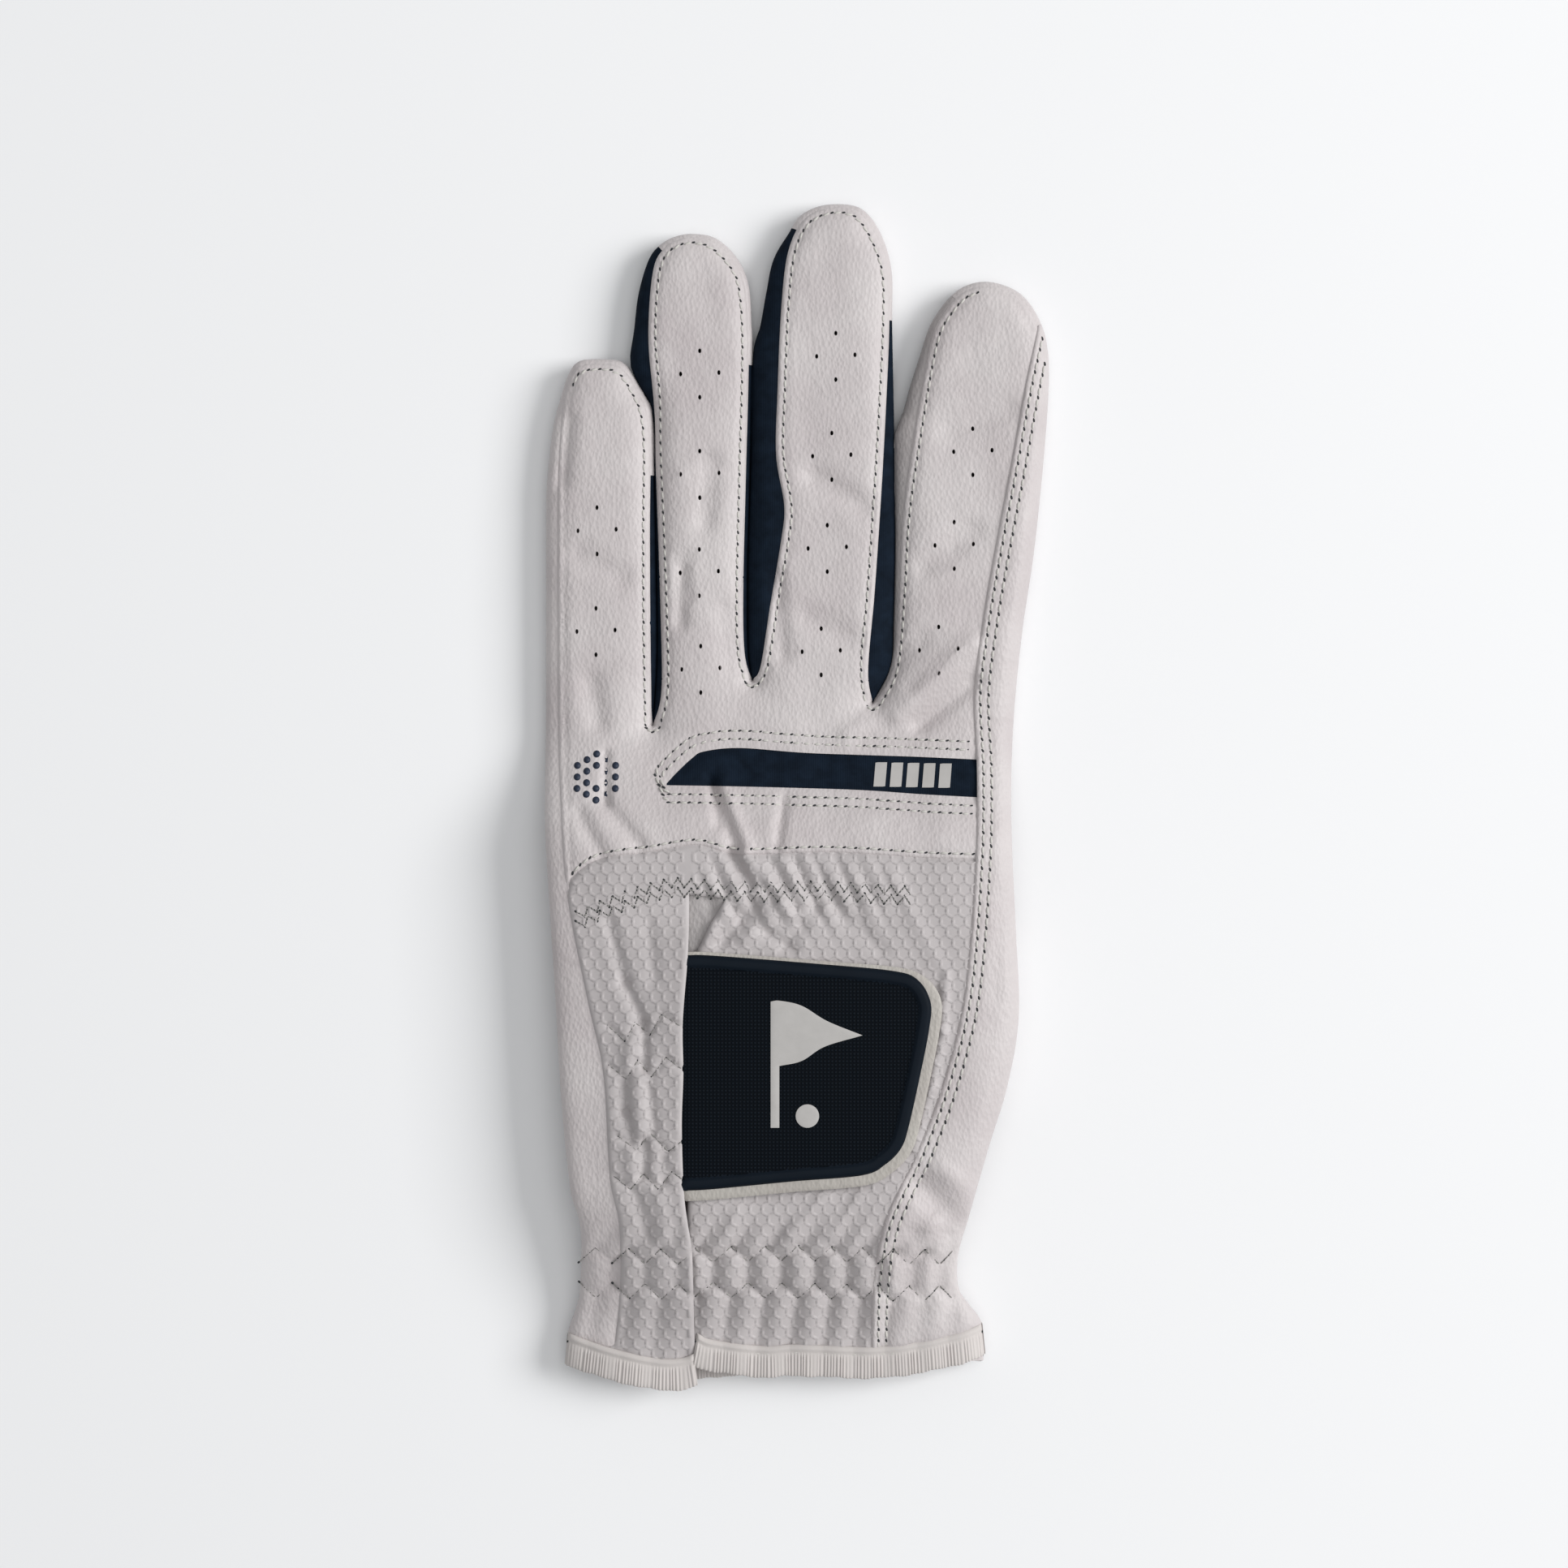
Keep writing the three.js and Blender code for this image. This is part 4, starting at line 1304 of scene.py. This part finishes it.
def fabrics():
    """Both halves of the stretch fabric, and the facing at the end of the slit between them."""
    hem = spline([(-38.0, -110.3), (-29.0, -113.0), (-20.9, -112.2)])
    seam = LITTLE_SEAM_LINE[(LITTLE_SEAM_LINE[:, 1] < -16) & (LITTLE_SEAM_LINE[:, 1] > -109.5)]
    upper = spline([(-46.0, -16.5), (-39.1, -10.2), (-21.6, -8.9)])
    outline = loop(hem[::-1], seam, upper[1:], SLIT_LEFT_LINE)
    edges = [SLIT_LEFT_LINE[SLIT_LEFT_LINE[:, 1] < -20], LITTLE_SEAM_LINE]
    obj = fabric("back_fabric_left_hex", outline, True, edges, "back_fabric_left")
    hem = spline([(-21.1, -111.0), (-1.2, -112.6), (17.0, -112.0)])
    seam = THUMB_SEAM_LINE[THUMB_SEAM_LINE[:, 1] < -10.6] + [OVERLAP, 0]
    upper = spline([(-21.6, -8.9), (6.2, -9.2), (37.0, -10.4)])
    outline = loop(hem[::-1], SLIT_RIGHT_LINE[::-1], upper[1:], seam)
    edges = [SLIT_RIGHT_LINE[SLIT_RIGHT_LINE[:, 1] < -20]]
    obj = fabric("back_fabric_right_hex", outline, False, edges, "back_fabric_right")
    facing = loop(
        spline([(-24.5, -17.0), (-12.0, -17.0)]),
        spline([(-12.0, -23.0), (-16.0, -33.0), (-22.0, -36.0)]),
    )
    height = lambda p: lower(p) - 1.1
    # The facing uses the white leather darkened with painted shade.
    obj = sheet("slit_facing_leather", facing, height, WHITE_LEATHER_PAINTED_SHADE, 1.2, roll=0, thickness=0.5)
    settle(obj, "white_leather", "hand", "slit_facing")


def elastics():
    """The elastic tapes inside the back, and the zigzag stitches that hold them."""
    tapes = [
        ("knuckle_elastic", -11, 25, -24.5, -17.5, lower),
        ("side_elastic_upper", -38, -24.4, -56.5, -43.5, top),
        ("side_elastic_lower", -36, -24.4, -78.0, -66.5, top),
        ("wrist_elastic_left", -35, -22.5, -101, -87, top),
        ("wrist_elastic_right", -18.8, 13, -102.5, -89, lower),
    ]
    for node, x0, x1, y0, y1, height in tapes:
        ring = loop(spline([(x0, y0), (x0, y1)], 1.5), spline([(x1, y1), (x1, y0)], 1.5))
        inner = lambda p, h=height: h(p) - 1.3
        obj = sheet(node + "_tape", ring, inner, ELASTIC, 1.4, roll=0, thickness=0.45)
        settle(obj, "elastic_tape", "hand", node)
    # The zigzag thread is darkened with painted shade of its grooves.
    stitches = Threads("elastic_stitches", ZIGZAG_THREAD_PAINTED_SHADE)
    little = lambda p: top(p) - 0.42 * np.clip(distance(p, [SIL["little"]]) / 6, 0, 1)
    wrap = lambda p: top(p) + 0.62 * np.clip(distance(p, [SIL["index"]]) / 5, 0, 1)
    for row_number in (0, 1):
        line = teeth(row_number)
        parts = [(-43.6, -37.4, little), (-36.9, -22.0, top), (-20.6, 14.6, lower), (15.6, 30.4, wrap)]
        for start, end, height in parts:
            zigzag(stitches, clip_line(line, start, end), height, on_hand)
    for line in SIDE_ZIGZAGS:
        zigzag(stitches, np.array(line), top, on_hand)
    for offset in (0.0, -1.9):
        line = spline([(-43.6, -24.0), (-36.9, -21.2), (-30.6, -19.0), (-25.2, -17.6), (-21.2, -17.7)])
        zigzag(stitches, jag(line + [0, offset], 2.6, 0.85), top, on_hand)
        line = spline([(-21.2, -17.7), (-7.0, -18.5), (4.0, -18.2), (22.0, -19.2)])
        zigzag(stitches, jag(line + [0, offset], 2.6, 0.85), lower, on_hand)
    stitches.finish("hex_fabric")


def clip_line(line, start, end):
    """The part of a line between two places across the glove."""
    ends = [(x, np.interp(x, line[:, 0], line[:, 1])) for x in (start, end)]
    middle = line[(line[:, 0] > start + 0.3) & (line[:, 0] < end - 0.3)]
    return np.vstack([ends[:1], middle, ends[1:]])


def jag(curve, pitch, amplitude):
    """The turning points of an even zigzag along a curve."""
    line = resample(curve, step=pitch / 2)
    t = tangents(line)
    side = np.column_stack([-t[:, 1], t[:, 0]])
    return line + side * (amplitude * (-1.0) ** np.arange(len(line)))[:, None]


# ---------------------------------------------------------------- the cuff

RIB = 0.66  # pitch of the binding's ribs


def binding(name, curve, surface, node):
    """A ribbed band folded over the cuff's edge: a smooth tube along its top, ribs below its stitches."""
    line = resample(spline(curve, 0.3), step=RIB / 8)
    t = tangents(line)
    out = 0.35 * np.column_stack([t[:, 1], -t[:, 0]]) + [0, -0.65]
    out = out / np.linalg.norm(out, axis=1)[:, None]
    s = lengths(line)
    close = np.sqrt(1 - (1 - np.clip(np.minimum(s, s[-1] - s) / 0.8, 0.1, 1)) ** 2)
    base = surface(line)
    wander = 0.9 * np.sin(s * 0.9) + 0.6 * np.sin(s * 2.3 + 1) + 0.5 * np.sin(s * 4.1)
    rib = np.cos(2 * np.pi * (s / RIB) + wander)
    rough = 0.8 + 0.6 * np.sin(s * 1.3 + 2) * np.sin(s * 0.47) + RNG.normal(0, 0.12, len(s))
    waves = 0.45 * np.sin(s * 0.63) + 0.3 * np.sin(s * 1.7 + 0.5)
    rows = []
    for a in np.linspace(0, 2 * math.pi, 40, endpoint=False):
        c, v = math.cos(a), math.sin(a)
        u = CUFF_WIDTH / 2 * (1 - np.sign(c) * abs(c) ** 0.75)
        w = np.sign(v) * abs(v) ** 0.6 * 0.66
        ribbed = ramp((u - 1.75) / 0.5)
        tube = 0.22 * bump(u - 0.75, 0.6) - 0.34 * bump(u - 1.6, 0.3)
        deep = 0.10 * rib * rough * ribbed * (v > -0.2) + (v > 0) * tube
        edge = 0.25 * waves * ramp((u - 4) / 2)
        xy = line + out * (u + edge + 0.05 * rib * ramp((u - 4.8) / 1.0))[:, None]
        rows.append(np.column_stack([xy, base + (w + deep) * close]))
    obj = grid(name, np.array(rows).transpose(1, 0, 2), BINDING, closed=True)
    settle(obj, "cuff_binding", "hand", node)


def cuff_surface(points, raised):
    """The surface that the binding follows: the back's, with shallower puckers."""
    rise = slit_rise(points) if raised else 0
    return dome(points)[0] + 0.35 * gathers(points) + rise - 0.15


def cuff():
    """The binding's two runs on the back and the one on the palm, and their stitches."""
    runs = (("left", CUFF_LEFT, True), ("right", CUFF_RIGHT, False))
    for side, curve, raised in runs:
        surface = lambda p, r=raised: cuff_surface(p, r)
        binding(f"cuff_binding_{side}_ribs", curve, surface, f"cuff_binding_{side}")
    ends = np.array([CUFF_LEFT[0], CUFF_RIGHT[-1]])

    def under(points):
        gap = np.min(np.linalg.norm(points[:, None] - ends[None], axis=2), axis=1)
        return bed(points[:, 1]) + 1.0 + 1.4 * (1 - ramp(gap / 5))

    curve = CUFF_LEFT[:3] + [(-20.5, -111.0)] + CUFF_RIGHT[2:]
    binding("cuff_binding_palm_ribs", curve, under, "cuff_binding_palm")
    stitches = Threads("cuff_stitches")
    for _, curve, raised in runs:
        line = inset(spline(curve), 1.6)
        height = lambda p, r=raised: cuff_surface(p, r) + 0.36
        row(stitches, line[1:-1], height, on_hand, 1.9, 0.15)
    stitches.finish("cuff_binding")


# ---------------------------------------------------------------- the closure tab

LOOP_Z, HOOK_Z, STRAP_Z, BADGE_Z = 15.0, 15.45, 16.15, 16.2
RIM, SUNK = 0.95, 0.45  # how high the badge's border stands, and how far its field lies below that
TAB_LINE = spline(TAB, 0.6)
ROOT = -29.0  # the strap's sewn end, under the little-finger half


def droop(points):
    """The tab follows the hand, so it falls a little towards both ends."""
    x, y = points[:, 0], points[:, 1]
    return -0.45 * (np.clip(x, 0, 40) / 26) ** 2 - 0.9 * ramp((-21 - x) / 8) - 0.15 * ((y + 55) / 23) ** 2


def nubs(name, outline, z, tall, node, region, pitch=1.15):
    """A base tape with rows of small hooks or loops, tall above or below it."""
    height = lambda p: np.full(len(p), z) + droop(p)
    obj = sheet(name, outline, height, TAPE, 2.0, roll=0, thickness=0.35)
    spots = lattice(outline, pitch)
    spots = spots[inside(spots, outline) & (distance(spots, [outline]) > 0.7)]
    spots = spots + RNG.normal(0, 0.08, spots.shape)
    verts, faces = [], []
    foot = z + (0 if tall > 0 else -0.35)
    for i, (x, y) in enumerate(spots):
        base = foot + droop(np.array([(x, y)]))[0]
        lean = RNG.normal(0, 0.12, 2)
        for way, side in ((-1, -1), (1, -1), (1, 1), (-1, 1)):
            verts.append((x + way * 0.25, y + side * 0.12, base))
        for way in (-1, 1):
            verts.append((x + way * 0.12 + lean[0], y + way * 0.08 + lean[1], base + tall))
        b = 6 * i
        faces += [(b, b + 1, b + 5, b + 4), (b + 1, b + 2, b + 5)]
        faces += [(b + 2, b + 3, b + 4, b + 5), (b + 3, b, b + 4)]
    tufts = make(name + "_pile", verts, faces, TAPE, False)
    settle(obj, "hook_loop_tape", region, node)
    settle(tufts, "hook_loop_tape", region)


def rounded(x0, x1, y0, y1, r=1.5):
    """A rectangle with round corners."""
    ring = []
    corners = ((x1 - r, y1 - r), (x0 + r, y1 - r), (x0 + r, y0 + r), (x1 - r, y0 + r))
    for (cx, cy), start in zip(corners, (0, 90, 180, 270)):
        for a in np.radians(np.arange(start, start + 91, 18)):
            ring.append((cx + r * math.cos(a), cy + r * math.sin(a)))
    return clockwise(np.array(ring))


def tab_root(obj):
    """Bakes a tab piece's transform where it lies."""
    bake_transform(obj)


def badge_height(points):
    """The badge's surface: a round border, and a field sunk inside it."""
    d = distance(points, [TAB_LINE[1:-1]])
    rim = np.sqrt(np.clip(1 - (1 - np.clip(d / 1.0, 0, 1)) ** 2, 0, 1))
    return BADGE_Z + droop(points) + RIM * rim - SUNK * ramp((d - 1.9) / 0.7)


def closure_tab():
    """The strap, the badge on it, and the hook and loop patches under it."""
    root = spline([(ROOT, -75.0), (ROOT, -35.0)])
    strap = loop(inset(TAB_LINE, -0.6 - 1.5 * ramp((-33 - TAB_LINE[:, 1]) / 8)), root)
    height = lambda p: STRAP_Z + droop(p)
    obj = sheet("tab_strap_backing", strap, height, BACKING, 1.3, thickness=0.65, roll=0.25)
    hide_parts("tab_strap")
    tab_root(obj)
    outline = loop(TAB_LINE, spline([(-24.2, -77.3), (-24.2, -32.2)]))
    steps = (0.12, 0.3, 0.6, 1.0, 1.8, 2.1, 2.4, 2.7, 3.1)
    obj = sheet("tab_badge_rubber", outline, badge_height, RUBBER, thickness=0, roll=0.01, near=steps)
    thicken(obj, 0.9)
    middles = np.array([face.center[:2] for face in obj.data.polygons]) * 1000 - SHIFT[:2]
    gridded = distance(middles, [TAB_LINE[1:-1]]) > 2.5
    obj.data.materials.append(RUBBER_GRID)
    obj.data.polygons.foreach_set("material_index", gridded.astype(int))
    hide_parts("tab_badge")
    tab_root(obj)
    emblem()
    hooks, loops = rounded(-8, 17, -71, -39), rounded(-14, 19, -73, -37)
    nubs("hook_patch_tape", hooks, HOOK_Z, -0.3, "hook_patch", "closure_tab")
    nubs("loop_patch_tape", loops, LOOP_Z - 0.25, 0.25, "loop_patch", "hand", 0.9)


def emblem():
    """A plain course flag: a pennant on a pole, with a ball at its foot."""
    floor = lambda p: BADGE_Z + droop(p) + RIM - SUNK + 0.2
    pole = [(-5.6, -65.5), (-3.9, -65.5), (-3.9, -53.4)]
    flag = spline([(-3.9, -53.4), (0.5, -52.4), (5.0, -49.6), (12.4, -47.4)], 0.6)
    back = spline([(12.4, -47.4), (5.5, -44.6), (0.5, -41.6), (-3.9, -40.6), (-5.6, -40.8)], 0.6)
    outline = loop(pole, flag, back, spline([(-5.6, -40.8), (-5.6, -65.5)], 0.8))
    obj = sheet("tab_emblem_flag", outline, floor, PRINT, 0.9, roll=0.08, thickness=0.22)
    settle(obj, "grey_print", "closure_tab", "tab_emblem")
    turn = np.arange(0, 2 * math.pi, 0.22)
    ball = clockwise(np.column_stack([1.6 + 2.3 * np.cos(turn), -63.2 + 2.3 * np.sin(turn)]))
    obj = sheet("tab_emblem_ball", ball, floor, PRINT, 0.6, roll=0.08, thickness=0.22)
    settle(obj, "grey_print", "closure_tab")


# ---------------------------------------------------------------- the thumb and the printed dots


# The rings between the hand and the thumb's root: how far out and up each lies, and its height.
ROOT_RINGS = ((0.9, 5.1, 0.55), (1.5, 3.6, 0.7), (1.3, 1.8, 0.88), (0.7, 0.5, 0.97))


def thumb_rings(top_side, low_side):
    """The folded thumb as rings of points, from inside the hand to its tip."""
    n = len(top_side)
    rings = []
    for i, (high, low) in enumerate(zip(top_side, low_side)):
        middle, half = (high + low) / 2, (high - low) / 2
        tall = 3.0 * math.sqrt(max(1 - (i / (n - 1)) ** 5, 0)) + 0.02
        ring = []
        for a in np.linspace(0, 2 * math.pi, 48, endpoint=False):
            c, v = math.cos(a), math.sin(a)
            xy = middle + half * (np.sign(c) * abs(c) ** 0.8)
            ring.append((*xy, 3.25 + tall * np.sign(v) * abs(v) ** 0.75))
        rings.append(ring)
    rings = np.array(rings)
    root = []
    for out, up, grow in ROOT_RINGS:
        ring = rings[0].copy()
        centre = ring.mean(0)
        ring[:, 0] += out + (ring[:, 2] - centre[2]) * (-0.35 * up / 5)
        ring[:, 1] = centre[1] + (ring[:, 1] - centre[1]) * (0.93 + 0.07 * grow)
        ring[:, 2] = centre[2] + (ring[:, 2] - centre[2]) * grow + up
        root.append(ring)
    return np.vstack([np.array(root), rings])


def thumb():
    """The thumb, folded flat under the palm: two leathers, and a strip along both of its sides."""
    tip = (-7.0, -25.0)
    upper = spline([(38.3, -28.0), (24.0, -19.8), (6.0, -13.8), (-2.0, -14.2), (-6.4, -19.5), tip])
    under = spline([(35.6, -60.5), (22.0, -52.6), (8.0, -43.5), (-1.0, -36.2), (-5.6, -30.5), tip])
    sides = [resample(edge, count=46) for edge in (upper, under)]
    rings = thumb_rings(*sides)
    around = np.concatenate([rings, rings[:, :4]], axis=1)
    for name, first, last, node in (
        ("thumb_over_leather", 3, 22, "thumb_over"),
        ("thumb_inner_strip", 21, 28, "thumb_wall_outer"),
        ("thumb_under_leather", 27, 46, "thumb_under"),
        ("thumb_outer_strip", 45, 52, "thumb_wall_inner"),
    ):
        obj = thicken(grid(name, around[:, first:last], WHITE), 0.6)
        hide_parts(node)
        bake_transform(obj)
    stitches = Threads("thumb_stitches")
    for edge in sides:
        line = edge[edge[:, 0] < 32]
        line = line + (np.array([16.0, -36.0]) - line) * 0.04
        seam = lambda p: np.full(len(p), 4.9 + 0.65)
        row(stitches, line, seam, lambda p: np.full(len(p), "thumb"), 2.0)
    stitches.finish()


def dots():
    """A small hexagon of printed dots round an empty middle, one column half lost in a crease."""
    verts, faces = [], []
    turn = np.arange(12) * math.pi / 6
    for i, count in enumerate((3, 4, 5, 4, 3)):
        for j in range(count):
            if i == j == 2:
                continue
            x = -40.1 + (i - 2) * 1.9
            y = 3.25 + (j - (count - 1) / 2) * 2.28
            wide = 0.34 if i == 3 else 0.70
            ring = np.column_stack([x + wide * np.cos(turn), y + 0.72 * np.sin(turn)])
            lifted = lift_of(ring, top)
            a = len(verts)
            b = a + 12
            verts += list(lifted - [0, 0, 0.1]) + list(lifted + [0, 0, 0.06])
            faces.append(tuple(range(b, b + 12)))
            faces += [(a + k, a + (k + 1) % 12, b + (k + 1) % 12, b + k) for k in range(12)]
    settle(make("printed_dots", verts, faces, NAVY_PRINT), "navy_knit", "hand")


# ---------------------------------------------------------------- floor, lights and camera


FLOOR_HALF = 3.0  # metres
LIGHTS = {  # place, size and power, in metres and watts
    "key": ((2.0, 0.36, 1.40), 1.25, 52.0),
    "overhead": ((0.12, 0.05, 1.6), 1.3, 8.0),
}
AIM = Vector((0, -0.01, 0))
EYE = (-2.98, 1.85, 742.0)  # straight above the glove


def studio():
    """A pale floor, two soft lights and the photograph's view from straight above."""
    scene = bpy.context.scene
    mesh = bpy.data.meshes.new("floor")
    corners = [(x * FLOOR_HALF, y * FLOOR_HALF, 0) for x, y in ((-1, -1), (1, -1), (1, 1), (-1, 1))]
    mesh.from_pydata(corners, [], [(0, 1, 2, 3)])
    floor = bpy.data.objects.new("floor", mesh)
    scene.collection.objects.link(floor)
    mesh.materials.append(nodes_of("floor_paper", (0.86, 0.862, 0.868), 0.9, 0.1)[0])
    floor.location.z = -0.0002
    scene.world = bpy.data.worlds.new("world")
    scene.world.use_nodes = True
    sky = scene.world.node_tree.nodes["Background"]
    sky.inputs["Color"].default_value = (0.96, 0.98, 1.0, 1)
    sky.inputs["Strength"].default_value = 0.33
    for name, (spot, size, power) in LIGHTS.items():
        light = bpy.data.lights.new(name, "AREA")
        light.size = size
        light.energy = power
        obj = bpy.data.objects.new(name, light)
        obj.location = spot
        obj.rotation_euler = (AIM - Vector(spot)).to_track_quat("-Z", "Y").to_euler()
        scene.collection.objects.link(obj)
    lens = bpy.data.cameras.new("camera")
    lens.lens = 85
    lens.sensor_width = 36
    camera = bpy.data.objects.new("camera", lens)
    camera.location = Vector(place(EYE))
    scene.collection.objects.link(camera)
    scene.camera = camera
    scene.view_settings.view_transform = "Standard"


knuckle_insert(hand_back(finger_backs()))
fourchettes()
side_wraps()
palm()
fabrics()
elastics()
cuff()
closure_tab()
thumb()
dots()
studio()
